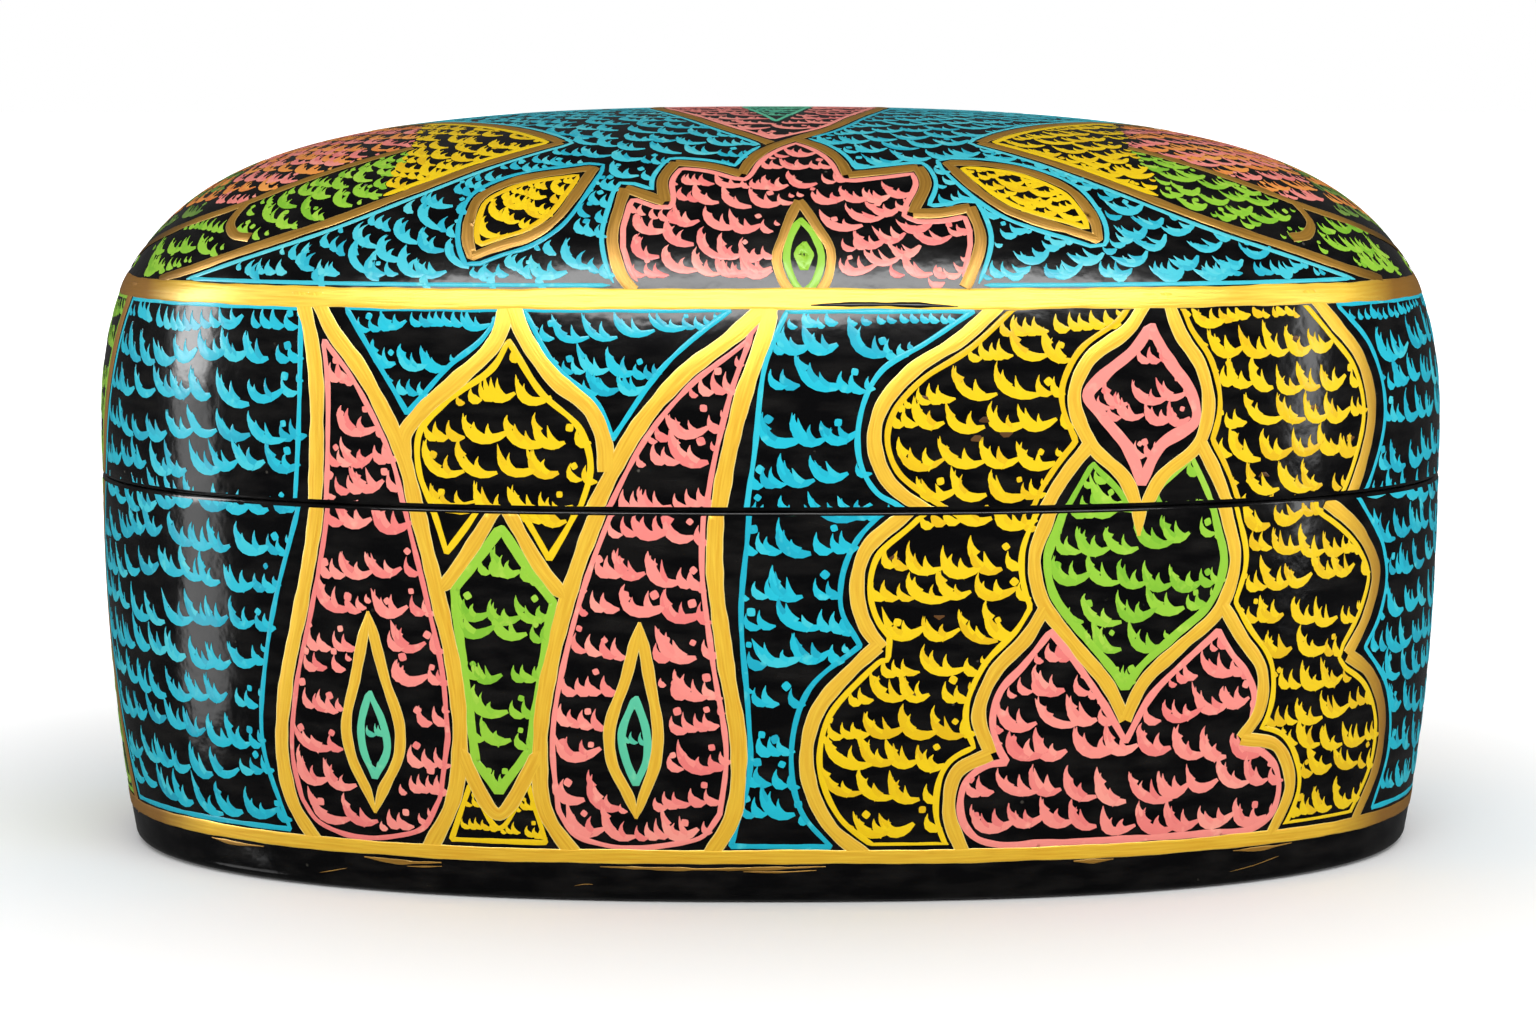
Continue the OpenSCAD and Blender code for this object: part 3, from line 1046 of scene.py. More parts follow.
rng = np.random.default_rng(12)
pod_left_lid = [
    [(-47.9, 63), (-47, 58.5), (-46.8, 54), (-47.4, 47.5), (-48.1, 41.5), (-48.6, 37)],
    [(-46, 63), (-44.2, 59), (-41.5, 55.3), (-39.6, 51.5), (-37.6, 46), (-36.8, 41.5), (-36.2, 37)],
]
pod_left_base = [
    [(-47.4, 45), (-48, 40.5), (-50.4, 30), (-52.9, 21), (-53.9, 13.5), (-53.2, 9), (-50.5, 4.6)],
    [(-37.2, 45), (-36.6, 41), (-34.7, 32), (-33.2, 24), (-32.9, 17), (-34.1, 10.4), (-37.5, 4.6)],
]
pod_right_lid = [
    [(1, 63), (-2.2, 59.2), (-8, 54.6), (-13.1, 49.2), (-16.8, 43.3), (-18, 41), (-19.8, 37)],
    [(0.2, 63), (-0.4, 58.8), (-2.6, 52), (-4.6, 44.6), (-5.2, 41.5), (-5.8, 37)],
]
pod_right_base = [
    [(-15.6, 45), (-17.5, 41), (-19.6, 36), (-22.3, 27.5), (-24.3, 17), (-24, 9.3), (-21, 4.6)],
    [(-5.2, 45), (-5.5, 41), (-5.8, 36), (-4.8, 26), (-3.4, 15), (-4.2, 9), (-7, 4.6)],
]
wall_gold(rng, "pod_left_gold", pod_left_lid, pod_left_base)
wall_gold(rng, "pod_right_gold", pod_right_lid, pod_right_base)

drop_left = [
    [(-42.5, 30), (-44.2, 23.2), (-45.7, 17), (-45.3, 14.4), (-43.7, 10.6), (-43.1, 8.6)],
    [(-42.5, 30), (-40.9, 23), (-39.5, 17.5), (-39.7, 15.4), (-42.2, 10.6), (-43.1, 8.6)],
]
drop_right = [
    [(-13.6, 29.6), (-15, 24.1), (-17, 17.7), (-16.8, 15), (-15, 11), (-14.4, 9)],
    [(-13.6, 29.6), (-12.7, 24), (-11.9, 17.2), (-12.2, 15), (-13.7, 11), (-14.4, 9)],
]
wall_gold(rng, "drop_gold", base_lines=drop_left + drop_right, width=1.2, ends=2.6)
drop_left_loop = lapped(drop_left[0], drop_left[1][::-1])
drop_right_loop = lapped(drop_right[0], drop_right[1][::-1])


def drop_colour(rng, name, material, loops):
    """Teal heart of the drops: one broad border line, and a stroke or two in its eye."""
    patches = []
    for loop in loops:
        for one in (loop, round_back(loop)):
            patches.append(border(rng, wall_point, one, 0.8))
            rows = wall_rows(rng, one, 13.0)
            patches += stroke_rows(rng, wall_point, rows, one, size=0.6, dots=False)
    paint_piece(name, patches, wall_point, material, "base", BASE_KEEP)


drop_left_heart = closed(
    [(-44, 17.5), (-43.9, 15.4), (-42.8, 12.4)], [(-41.1, 15.6), (-41.4, 18.2), (-42.8, 21.5)],
)
drop_right_heart = closed(
    [(-15.7, 17.4), (-15.3, 15.2), (-14.3, 12.6)], [(-13, 15.8), (-13.1, 18.2), (-14.2, 21.8)],
)
drop_colour(rng, "drop_teal", TEAL, [drop_left_heart, drop_right_heart])

pod_left_in_lid = lapped(
    pod_left_lid[0], [(-48.6, 37), (-36.2, 37)], pod_left_lid[1][::-1]
)
pod_left_in_base = lapped(
    pod_left_base[0][:6],
    [(-53.2, 9), (-51.4, 6.4), (-48, 4.9), (-41, 4.9), (-37, 6.2), (-34.1, 10.4)],
    pod_left_base[1][:5][::-1],
    [(-37.2, 45), (-47.4, 45)],
)
pod_right_in_lid = lapped(
    pod_right_lid[0], [(-19.8, 37), (-5.8, 37)], pod_right_lid[1][::-1]
)
pod_right_in_base = lapped(
    pod_right_base[0][:6],
    [(-24, 9.3), (-22, 6.2), (-18.5, 4.9), (-11, 4.9), (-6.4, 6.2), (-4.2, 9)],
    pod_right_base[1][:6][::-1],
    [(-5.2, 45), (-15.6, 45)],
)
drop_left_bare = beside(wall_point, drop_left_loop, -1.0)
drop_right_bare = beside(wall_point, drop_right_loop, -1.0)
wall_field(
    rng, "pod_left_salmon", SALMON, pod_left_in_lid, pod_left_in_base, [drop_left_bare],
    start=7.2, reach=1.3, pitch=3.85,
)
wall_field(
    rng, "pod_right_salmon", SALMON, pod_right_in_lid, pod_right_in_base, [drop_right_bare],
    start=7.0, reach=1.3, pitch=3.85,
)

# ------------------------------------------------------------------ the bud and the kite
# Between the pods: a yellow bud on the lid that runs down to a point on the base, a lime
# kite below it, a small yellow foot, and two cyan corners under the shoulder band.

rng = np.random.default_rng(13)
bud_lid = [
    [(-22.8, 63), (-25.5, 58.4), (-30.9, 54), (-35.5, 50.5), (-37.3, 48.4), (-37.7, 46)],
    [(-22.8, 63), (-22.7, 59.2), (-20.7, 54.7), (-17.2, 51), (-16.4, 48), (-16.5, 45)],
]
kite_gold_lines = [
    [(-27.5, 42.2), (-29.7, 38.8), (-32.2, 35.2), (-34.4, 32.4)],
    [(-27.5, 42.2), (-25.6, 38.4), (-23.8, 35.2), (-21.3, 32)],
    [(-32.9, 16), (-32, 13.5), (-29.3, 9.1), (-25.6, 13.8), (-24.4, 16)],
]
wall_gold(rng, "bud_gold", bud_lid)
wall_gold(rng, "kite_gold", base_lines=kite_gold_lines, width=1.5, ends=0.8)
bud_in_lid = closed(
    [(-26.1, 56), (-32.4, 51.8), (-35.6, 48.7), (-36, 44.3), (-35, 41.3), (-33.8, 37)], [(-21.6, 37)],
    [(-19.3, 41.5), (-18, 46), (-18.6, 49.1), (-22.2, 53.1), (-24.4, 58.2)],
)
bud_in_base = closed(
    [(-34.9, 41), (-33.6, 36.4)], [(-30.6, 40.2), (-27.8, 44.6)], [(-25, 40), (-22.8, 36)],
    [(-19.8, 41), (-18.2, 45)], [(-36.2, 45)],
)
wall_field(rng, "bud_yellow", YELLOW, bud_in_lid, bud_in_base, start=8.2, width=0.65)
kite_loop = closed(
    [(-30.3, 35.8), (-32.9, 32.6)], [(-32.1, 23.5), (-31.3, 14.6)], [(-29, 11.6)], [(-25.4, 16)],
    [(-24, 23.5), (-22.5, 31.5)], [(-25.2, 35.2), (-27.7, 39.1)],
)
wall_field(rng, "kite_lime", LIME, None, kite_loop, start=8.4, width=1.0, size=0.9, pitch=3.7)
kite_foot = closed([(-34.6, 6.2)], [(-24.2, 6.2)], [(-25.8, 12.4)], [(-29.3, 7.6), (-32, 12.4)])
wall_field(rng, "kite_foot_yellow", YELLOW, None, kite_foot, start=7.2, size=0.6, pitch=2.6)
corner_left = closed([(-36.7, 50.7)], [(-31, 55.8), (-27.3, 58.2), (-24.1, 61.3)], [(-42.1, 61.3)])
corner_right = closed(
    [(-20.3, 55.9), (-16.4, 51.6), (-15.6, 48.3)], [(-10, 55.1), (-2.6, 61.3)], [(-21.8, 61.3)],
)
wall_field(rng, "corner_left_cyan", CYAN, corner_left, None, size=0.8, pitch=3.2)
wall_field(rng, "corner_right_cyan", CYAN, corner_right, None, size=0.8, pitch=3.2)

# ------------------------------------------------------------------ the middle cyan field
# A waisted cyan field between the right pod and the cloud, with a broad strip of bare black
# beside the pod's gold line.

rng = np.random.default_rng(14)
cyan_middle_lid = closed(
    [(-0.4, 55.8), (-1.6, 46.6), (-2.4, 41.5), (-2.8, 37)], [(14, 37)],
    [(13.2, 41.3), (10.8, 42.8), (9, 45.5), (8.4, 50.3), (9.9, 55.3), (13.5, 58), (17.3, 61.2)],
    [(0.9, 61.2)],
)
cyan_middle_base = closed(
    [(-2.2, 40.9), (-3.1, 30.5), (-2.4, 20.3), (-2.2, 14.7), (-4.3, 6.1)], [(6.5, 6)],
    [(3.4, 9.6), (2.2, 15.8), (4, 22.6), (9.3, 27.2)],
    [(7.3, 31.1), (7.3, 33.8), (8.8, 38), (12, 41.5), (15, 45)], [(-2.1, 45)],
)
wall_field(rng, "cyan_middle", CYAN, cyan_middle_lid, cyan_middle_base, start=8.6)

# ------------------------------------------------------------------ the cloud and its stack
# A lobed yellow cloud. In it, from the top: an onion with a salmon diamond, a lime heart, and
# a two-lobed salmon foot, each outlined in gold, one upon the other.

rng = np.random.default_rng(15)
cloud_lid = [
    [(20.5, 63), (17, 58.5), (12.8, 55.2), (10.3, 51.2), (10, 48.8), (11.6, 44.3), (15.1, 41.4), (19, 39)],
    [(57.5, 63), (62, 59.1), (65.9, 55.4), (67.8, 50), (66.6, 44.4), (64.5, 40.2), (62, 37)],
]
cloud_base = [
    [(17, 44.5), (13.6, 40.7), (9.6, 36.7), (8.9, 33), (10.1, 28.8), (11.6, 26.9)],
    [(11.2, 27.2), (8.9, 25.1), (4.6, 19.7), (3.8, 15), (6.4, 8.2), (10.5, 4.8)],
    [(61, 40.5), (63.2, 39.3), (67.4, 36.1), (69.8, 32.3), (68.6, 28), (65.6, 23.8)],
    [(65.6, 23.8), (69.7, 21.4), (73.3, 16), (73.5, 12), (70, 4.8)],
]
onion = [
    [(36.2, 63), (34.8, 59.6), (30.7, 56), (29.9, 53.4), (32.3, 47.7), (36.6, 43.7), (39, 37)],
    [(38, 63), (40.7, 58.7), (43.8, 55.1), (45.1, 51), (44.5, 47.6), (40.4, 43.9), (37.6, 37)],
]
heart_lid = [
    [(32.3, 47.6), (30.2, 44.8), (28.4, 41.5), (27.6, 37)],
    [(44.5, 47.5), (46.7, 44.1), (48.2, 41), (49.2, 37)],
]
heart_base = [
    [(29.6, 44.5), (28.5, 40.3), (27.2, 36), (27.8, 32.4), (31.9, 26.7), (35.6, 22.4), (37.6, 18.8)],
    [(46.8, 44.5), (48.3, 39.6), (49.5, 35), (47.9, 30), (43.4, 26.2), (39.4, 22.6), (37.6, 18.8)],
]
lobes = [
    [(28.5, 30.9), (26.8, 28), (23.2, 24), (21.8, 19.8), (23.2, 15.7)],
    [(23.2, 15.7), (19.7, 13.8), (19, 10), (20.9, 4.8)],
    [(48.2, 30.4), (50.6, 26.9), (53.5, 23), (53.4, 18.7), (51.4, 16)],
    [(51.4, 16), (56.2, 14.8), (58.6, 10.5), (56.6, 4.8)],
]
wall_gold(rng, "cloud_gold", cloud_lid, cloud_base, width=1.5)
wall_gold(rng, "onion_gold", onion, width=1.45)
wall_gold(rng, "heart_gold", heart_lid, heart_base, width=1.45)
wall_gold(rng, "onion_tip_gold", base_lines=[[(38.2, 44), (38.2, 41), (38.3, 38)]], width=1.7, ends=2.4)
wall_gold(rng, "lobe_gold", base_lines=lobes, width=1.45)

cloud_in_lid = lapped(
    cloud_lid[0],
    [(19, 39), (19, 37)],
    [(19, 37), (62, 37)],
    cloud_lid[1][::-1],
    [(57.5, 63), (20.5, 63)],
)
stack_lid = lapped(
    onion[0][:5],
    heart_lid[0],
    [(27.6, 37), (27.6, 30)],
    [(27.6, 30), (49.2, 30)],
    [(49.2, 30), (49.2, 37)],
    heart_lid[1][::-1],
    onion[1][:5][::-1],
    [(38, 63), (38, 68)],
    [(38, 68), (36.2, 63)],
)
stack_lid_bare = beside(wall_point, stack_lid, -1.35)
cloud_in_base = lapped(
    [(19, 46), (13.6, 40.7), (9.6, 36.7), (8.9, 33), (10.1, 28.8), (11.6, 26.9)],
    cloud_base[1],
    [(10.5, 4.8), (70, 4.8)],
    cloud_base[3][::-1],
    cloud_base[2][::-1],
    [(61, 40.5), (61, 46)],
    [(61, 46), (19, 46)],
)
stack_base = lapped(
    [(29.6, 44.5), (28.5, 40.3), (27.2, 36), (27.8, 32.4), (28.5, 30.9)],
    lobes[0],
    lobes[1],
    [(20.9, 4.8), (20.9, 0)],
    [(20.9, 0), (56.6, 0)],
    [(56.6, 0), (56.6, 4.8)],
    lobes[3][::-1],
    lobes[2][::-1],
    [(48.2, 30.4), (49.5, 35), (48.3, 39.6), (46.8, 44.5)],
    [(46.8, 44.5), (46.8, 52)],
    [(46.8, 52), (29.6, 52)],
    [(29.6, 52), (29.6, 44.5)],
)
stack_base_bare = beside(wall_point, stack_base, -1.35)


def cloud_colour(rng, loop, stack, body, keep):
    """The cloud's yellow: a border inside its outline, another round the stack, and rows."""
    patches = []
    for side in (0, 1):
        outer = beside(wall_point, round_back(loop) if side else loop, 1.35)
        inner = round_back(stack) if side else stack
        patches += stretches(rng, wall_point, outer, bare_of(outer, [inner]), 0.6)
        patches.append(border(rng, wall_point, inner, 0.6))
        rows = wall_rows(rng, outer, 7.2, 3.5)
        patches += stroke_rows(rng, wall_point, rows, outer, [inner], 0.95)
    paint_piece(f"cloud_yellow_{body}", patches, wall_point, YELLOW, body, keep)


cloud_colour(rng, cloud_in_lid, stack_lid_bare, "lid", (LID_KEEP[0], 61.2))
cloud_colour(rng, cloud_in_base, stack_base_bare, "base", (6.1, BASE_KEEP[1]))

diamond = closed(
    [(36, 57.6), (32.6, 54.4), (31.4, 52.8), (33.4, 50.3), (36.8, 46.6), (38.3, 43.4)],
    [(40, 47.2), (43.8, 50), (42.9, 52.6), (40.2, 55.6), (37, 59.5)],
)
wall_field(rng, "diamond_salmon", SALMON, diamond, None, width=1.2, size=0.8, pitch=3.2)
heart_corner_left = closed([(30.4, 41), (28.6, 37)], [(37, 37)], [(36.9, 41), (32.8, 45.6)])
heart_corner_right = closed([(39.2, 41), (39, 37)], [(47.6, 37)], [(46.4, 41), (43.7, 46)])
wall_field(rng, "heart_corner_lime", LIME, heart_corner_left, None, start=8.0, width=0.6)
wall_field(rng, "heart_corner_right_lime", LIME, heart_corner_right, None, start=8.0, width=0.6)
heart_in_base = lapped(
    heart_base[0], heart_base[1][::-1], [(46.8, 44.5), (38.2, 44.5)], [(38.2, 44.5), (29.6, 44.5)]
)
wall_field(rng, "heart_lime", LIME, None, heart_in_base, width=0.9, reach=1.35, size=0.95, pitch=3.7)
lobes_in = closed(
    [(26.3, 24.8), (24, 22.2), (23.3, 19.1), (24, 16.4), (24.9, 14.8)],
    [(22.7, 14.4), (20.8, 12.9), (20.2, 10.6), (20.7, 8.3), (22, 6.8), (24.4, 6), (28.8, 6)], [(50, 6)],
    [(54.3, 6.1), (56.4, 7.3), (57.1, 10.2), (56.2, 12.7), (54.3, 14.3), (51.6, 15.1)],
    [(52.5, 17.7), (52.8, 20.1), (51.6, 22.9), (49.7, 25), (47.8, 27.6)],
    [(44.4, 24.9), (40.4, 21.2), (37.8, 16.5)], [(33.4, 23.1), (29.2, 28.4)],
)
wall_field(rng, "lobes_salmon", SALMON, None, lobes_in, start=7.2, width=0.75, pitch=3.8)

BROWN = paint("brown_varnish", (96, 62, 26), (74, 46, 20), (140, 96, 44))
stains = [
    ribbon(rng, wall_point, brush_line((u - 0.6, z), (u, z + lean), (u + 0.7, z)), 0.7, 0.03, 0.8, 0.5)
    for u, z, lean in (
        (14.5, 52.2, 0.3), (23.3, 48.9, -0.2), (21, 50.1, 0.2), (26.8, 56.8, -0.3), (20.4, 48.2, 0.2),
        (55.7, 57.7, 0.2), (64.3, 47.1, -0.2), (52.5, 43.6, 0.3), (58.6, 50.4, 0.2),
    )
]
paint_piece("brown_stains_lid", stains, wall_point, BROWN, "lid", LID_KEEP)
stains = [
    ribbon(rng, wall_point, brush_line((u - 0.5, z), (u, z + lean), (u + 0.6, z)), 0.6, 0.03, 0.8, 0.5)
    for u, z, lean in ((15, 21.7, 0.3), (17.4, 30.2, -0.2), (60.2, 24.5, 0.2), (12.6, 36.1, 0.2))
]
paint_piece("brown_stains_base", stains, wall_point, BROWN, "base", BASE_KEEP)

# ------------------------------------------------------------------ the right cyan field
# The last cyan field turns round the right end, where it meets its mirror from the back.

rng = np.random.default_rng(16)
cyan_right_lid = closed(
    [(68, 56.5), (70.4, 50), (68, 42.2), (66.9, 40.4), (65, 37)], [(139.2, 37)],
    [(137.3, 40.4), (136.2, 42.2), (133.8, 50), (136.2, 56.5), (141.7, 61.2)], [(62.5, 61.2)],
)
cyan_right_base = closed(
    [(67.5, 39.2), (71.1, 34.9), (72, 32), (71, 27.5), (68.6, 24.3)],
    [(73.8, 19.2), (75.8, 12.4), (73.7, 6.1)], [(130.5, 6.1)],
    [(128.4, 12.4), (130.4, 19.2), (135.6, 24.3)],
    [(133.2, 27.5), (132.2, 32), (133.1, 34.9), (136.7, 39.2), (142, 45)], [(62, 45)],
)
wall_field(rng, "cyan_right", CYAN, cyan_right_lid, cyan_right_base, start=7.8, sides=(0,))

# ------------------------------------------------------------------ the left end panel
# Round the left end, between the two gold lines: a waisted panel in lime and yellow,
# here painted in lime only. The photograph shows only its rim, so its middle is filled as the rest is.

rng = np.random.default_rng(17)
MIDDLE_LEFT = -LOOP / 4
end_left_lid = lapped(
    [(-81.9, 61.2), (-85.4, 52), (-89.4, 41), (-90.4, 37)],
    [(-90.4, 37), (2 * MIDDLE_LEFT + 90.4, 37)],
    [(2 * MIDDLE_LEFT + 90.4, 37), (2 * MIDDLE_LEFT + 89.4, 41), (2 * MIDDLE_LEFT + 85.4, 52),
     (2 * MIDDLE_LEFT + 81.9, 61.2)],
    [(2 * MIDDLE_LEFT + 81.9, 61.2), (-81.9, 61.2)],
)
end_left_base = lapped(
    [(-87.4, 45), (-89.4, 41), (-92.4, 31), (-89.4, 18), (-85.6, 6.1)],
    [(-85.6, 6.1), (2 * MIDDLE_LEFT + 85.6, 6.1)],
    [(2 * MIDDLE_LEFT + 85.6, 6.1), (2 * MIDDLE_LEFT + 89.4, 18), (2 * MIDDLE_LEFT + 92.4, 31),
     (2 * MIDDLE_LEFT + 89.4, 41), (2 * MIDDLE_LEFT + 87.4, 45)],
    [(2 * MIDDLE_LEFT + 87.4, 45), (-87.4, 45)],
)
wall_field(rng, "left_end_lime", LIME, end_left_lid, end_left_base, start=7.6, sides=(0,))

# ------------------------------------------------------------------ the dome's flower
# On the front of the dome, over the shoulder band: a five-lobed salmon flower outlined in
# bronze, with a small lime drop in its foot. The back carries the same flower.


def dome_rows(rng, loop, behind=20.0, pitch=2.9):
    """Round rows about a point behind the crown, which lies on their left. Along the front's
    middle line they climb the dome at one pitch, and one row more follows the shoulder where
    they leave it bare. Rows of the back half are round the same point mirrored."""
    front = 1 if loop[:, 1].mean() <= 0.5 else -1
    y0 = behind * front
    far = np.hypot(loop[:, 0], loop[:, 1] - y0)
    table = dome_line(np.linspace(1, 0, 2001))
    line_y = table[:, 0] * DOME_Y / DOME_X
    climb = reach_of(np.stack([line_y, table[:, 1]], -1))
    band_gap = 1.8
    lowest = climb[-1] - band_gap
    steps = np.interp(np.arange(lowest, 0, -pitch), climb, line_y)
    outer_pitch = 0.6 * pitch
    radii = np.concatenate([
        behind + steps,
        behind - steps[::-1],
        np.arange(behind + steps[0] + outer_pitch, far.max() + 2, outer_pitch),
    ])
    radii = np.sort(radii[radii > 2])
    lines = []
    for r in radii:
        turn = np.linspace(-np.pi, np.pi, max(24, int(r * 6))) - np.pi / 2 * front
        drift = r + 0.22 * np.sin(9 * turn + rng.uniform(0, 7))
        drift = drift + 0.16 * np.sin(23 * turn + rng.uniform(0, 7))
        row = np.stack([drift * np.cos(turn), y0 + drift * np.sin(turn)], -1)
        lines.append((row, np.ones(len(row), bool)))
    turn = np.linspace(-np.pi, np.pi, 900)
    foot = np.stack(oval(DOME_X - 1.25, DOME_Y - 0.85, SHOULDER_CORNER, turn), -1)
    far = np.hypot(foot[:, 0], foot[:, 1] - y0)
    above = radii[np.maximum(np.searchsorted(radii, far) - 1, 0)]
    least_gap = 0.65
    lines.append((foot, far - above > least_gap))
    end_x, end_y = DOME_X - 0.6, DOME_Y - 0.25
    rows = []
    for row, kept in lines:
        kept = kept & np.all((row > loop.min(axis=0) - 3) & (row < loop.max(axis=0) + 3), axis=1)
        x, y = np.abs(row.T)
        kept &= (x / end_x) ** SHOULDER_CORNER + (y / end_y) ** SHOULDER_CORNER < 1
        cuts = np.flatnonzero(np.diff(kept.astype(int))) + 1
        for run in np.split(np.arange(len(row)), cuts):
            if kept[run[0]] and len(run) > 6:
                rows.append(row[run])
    return rows


# Lines on the dome stop a little above the shoulder band, at these heights. The other two
# values turn a motif of the front's left to the back, or to all four places.
GOLD_FOOT = 63.2
FLOWER_FOOT = 63.9
TWO_WAYS = ((1, 1), (1, -1))
FOUR_WAYS = ((1, 1), (1, -1), (-1, 1), (-1, -1))


def dome_gold(rng, name, lines, width, ways=TWO_WAYS):
    """Bronze lines on the dome, in two or four places. Each next line lies a little prouder,
    as it was drawn over the one before."""
    patches = []
    for line in lines:
        for flip in ways:
            path = brush_line(*line) * flip
            path = path[dome_point(path)[:, 2] > GOLD_FOOT]
            lift = GOLD_LIFT + 0.003 * len(patches)
            patches.append(ribbon(rng, dome_point, path, width, lift))
    paint_piece(name, patches, dome_point, DULL_AND_SHADED_GOLD, "lid")


rng = np.random.default_rng(21)
flower_lines = [
    [(-13, -46.6), (-15.5, -45.3), (-16.2, -43.8), (-15.6, -41.4), (-15, -39.4)],
    [(-15, -39.4), (-13, -40.2), (-10.9, -41)],
    [(-10.9, -41), (-11.2, -38.8), (-9.9, -35.8)],
    [(-9.9, -35.8), (-6.2, -36.5), (-3, -37.8)],
    [(-3, -37.8), (-2.1, -35.6), (-0.3, -33), (2.6, -30.2)],
    [(2.6, -30.2), (5.4, -32.8), (7.2, -35.6), (8, -37.9)],
    [(8, -37.9), (11.4, -37.3), (15.3, -36.4)],
    [(15.3, -36.4), (16, -38.6), (14.6, -41.9)],
    [(14.6, -41.9), (17.5, -41.7), (20.5, -41)],
    [(20.5, -41), (21.5, -43.4), (20.3, -45.4), (19, -46.4)],
]
dome_gold(rng, "flower_gold", flower_lines, 1.2)
flower_drop = [
    [(2.9, -41), (1.3, -43.7), (0.6, -45.1), (1.1, -45.9), (2.4, -46.6)],
    [(2.9, -41), (4.8, -43.2), (6.2, -44.9), (5.9, -45.8), (4.7, -46.6)],
]
dome_gold(rng, "flower_drop_gold", flower_drop, 1.0)
flower_loop = lapped(*flower_lines, [(19, -46.4), (-13, -46.4)])
drop_loop = lapped(flower_drop[0], [(2.4, -46.6), (4.7, -46.6)], flower_drop[1][::-1])
drop_bare = beside(dome_point, drop_loop, -0.9)
flower_inside = beside(dome_point, flower_loop, 1.0)
flower_inside = np.concatenate([
    flower_inside[flower_inside[:, 1] > -43.2],
    brush_line((20.4, -43.8), (19.7, -45.3), (18.5, -46.3)),
    brush_line((18.5, -46.3), (3, -46.35), (-12.7, -46.3)),
    brush_line((-12.7, -46.3), (-14.2, -45.5), (-15.1, -44.2)),
])
patches = []
for flip in TWO_WAYS:
    line, bare = flower_inside * flip, [drop_bare * flip]
    free = (dome_point(line)[:, 2] > FLOWER_FOOT) & bare_of(line, bare)
    patches += stretches(rng, dome_point, line, free, 0.6)
    patches += stroke_rows(rng, dome_point, dome_rows(rng, line), line, bare, 0.82)
paint_piece("flower_salmon", patches, dome_point, SALMON, "lid")
lime_drop = closed(
    [(1.9, -44), (1.6, -45), (2.3, -46), (3.3, -46.5)],
    [(4.6, -46), (5.2, -45), (4.6, -43.9), (3, -42.6)],
)
lime_eye = closed([(2.8, -44.8)], [(3.4, -45.5)], [(4, -44.8)], [(3.3, -44.2)])
patches = [border(rng, dome_point, lime_drop * flip, 0.75) for flip in TWO_WAYS]
patches += [border(rng, dome_point, lime_eye * flip, 0.95) for flip in TWO_WAYS]
paint_piece("flower_drop_lime", patches, dome_point, LIME, "lid")

# ------------------------------------------------------------------ the medallion
# On the crown, a salmon medallion with a teal middle, its front corner above the flower.

rng = np.random.default_rng(22)
medallion_lines = [
    [(0, -31.6), (-5, -25.8), (-9.5, -16.6), (-12.2, -7), (-12.8, 0)],
    [(2.6, -30.2), (5.8, -26.8), (9.2, -19), (12, -7), (12.6, 0)],
]
dome_gold(rng, "medallion_gold", medallion_lines, 1.2)
medallion_loop = lapped(
    medallion_lines[0],
    [(-12.8, 0), (-12.2, 7), (-9.5, 16.6), (-5, 25.8), (0.8, 31)],
    [(0.8, 31), (5.8, 26.8), (9.2, 19), (12, 7), (12.6, 0)],
    [(12.6, 0), (12, -7), (9.2, -19), (5.8, -26.8), (0.8, -31)],
)
medallion_heart = closed(
    [(-1.8, -15), (-3.2, -7), (-3.6, 0), (-3.2, 7), (-1.8, 15), (0.5, 24.5)],
    [(3.2, 15), (4.4, 7), (4.8, 0), (4.4, -7), (3.2, -15), (0.5, -24.5)],
)
line = beside(dome_point, medallion_loop, 1.1)
patches = [border(rng, dome_point, line)]
rows = dome_rows(rng, line, 34)
patches += stroke_rows(rng, dome_point, rows, line, [medallion_heart], size=0.82)
paint_piece("medallion_salmon", patches, dome_point, SALMON, "lid")
line = beside(dome_point, medallion_heart, 0.6)
patches = [border(rng, dome_point, line, 0.5)]
patches += stroke_rows(rng, dome_point, dome_rows(rng, line, 34), line, size=0.75)
paint_piece("medallion_teal", patches, dome_point, TEAL, "lid")

# ------------------------------------------------------------------ the four end leaves
# From each side of the crown a broad leaf runs out to the shoulder, parted by a vein: yellow
# at its tip, lime below the vein, salmon and orange above it.

rng = np.random.default_rng(23)
leaf_lines = [
    [(-22, -30), (-25.6, -25), (-31.8, -17), (-36.3, -10.6), (-41, -5), (-44.5, 0)],
    [(-22, -30), (-28, -33), (-36.4, -36), (-45, -36.7), (-53, -35), (-61, -31), (-66, -26.5)],
    [(-38, -26.5), (-42, -27.6), (-48, -28.5), (-56, -27.6), (-63, -22.6), (-69.2, -12.6), (-71.25, -7.8)],
]
leaf_lines.append([(-55.5, -27.8), (-57, -29.6), (-56.4, -31.6), (-54.5, -33.4)])
dome_gold(rng, "leaf_gold", leaf_lines, 1.15, FOUR_WAYS)
leaf_loop = lapped(
    leaf_lines[0],
    [(-44.5, 0), (-80, 0)],
    [(-80, 0), (-70, -26)],
    [(-70, -26), (-66, -26.5)],
    leaf_lines[1][::-1],
)
leaf_inside = beside(dome_point, lapped(
    leaf_lines[0],
    [(-44.5, 0), (-44.5, 6)],
    [(-44.5, 6), (-71.5, 6)],
    [(-71.5, 6), (-71, -12), (-69.5, -20), (-66, -26.5)],
    leaf_lines[1][::-1],
), 1.05)
zone_tip = closed([(-38, -5)], [(-15, -20)], [(-18, -40)], [(-42, -40)], [(-38, -26.5)])
zone_low = closed(
    [(-42, -28.3), (-48, -29.2), (-55, -28.6)], [(-56, -31), (-53, -38)], [(-42, -40)], [(-38, -27.2)],
)
zone_high = closed(
    [(-42, -26.9), (-48, -27.8), (-56, -26.9), (-60, -24)], [(-56, -10), (-55, 1.2)], [(-38, 1.2)],
    [(-38, -25.8)],
)
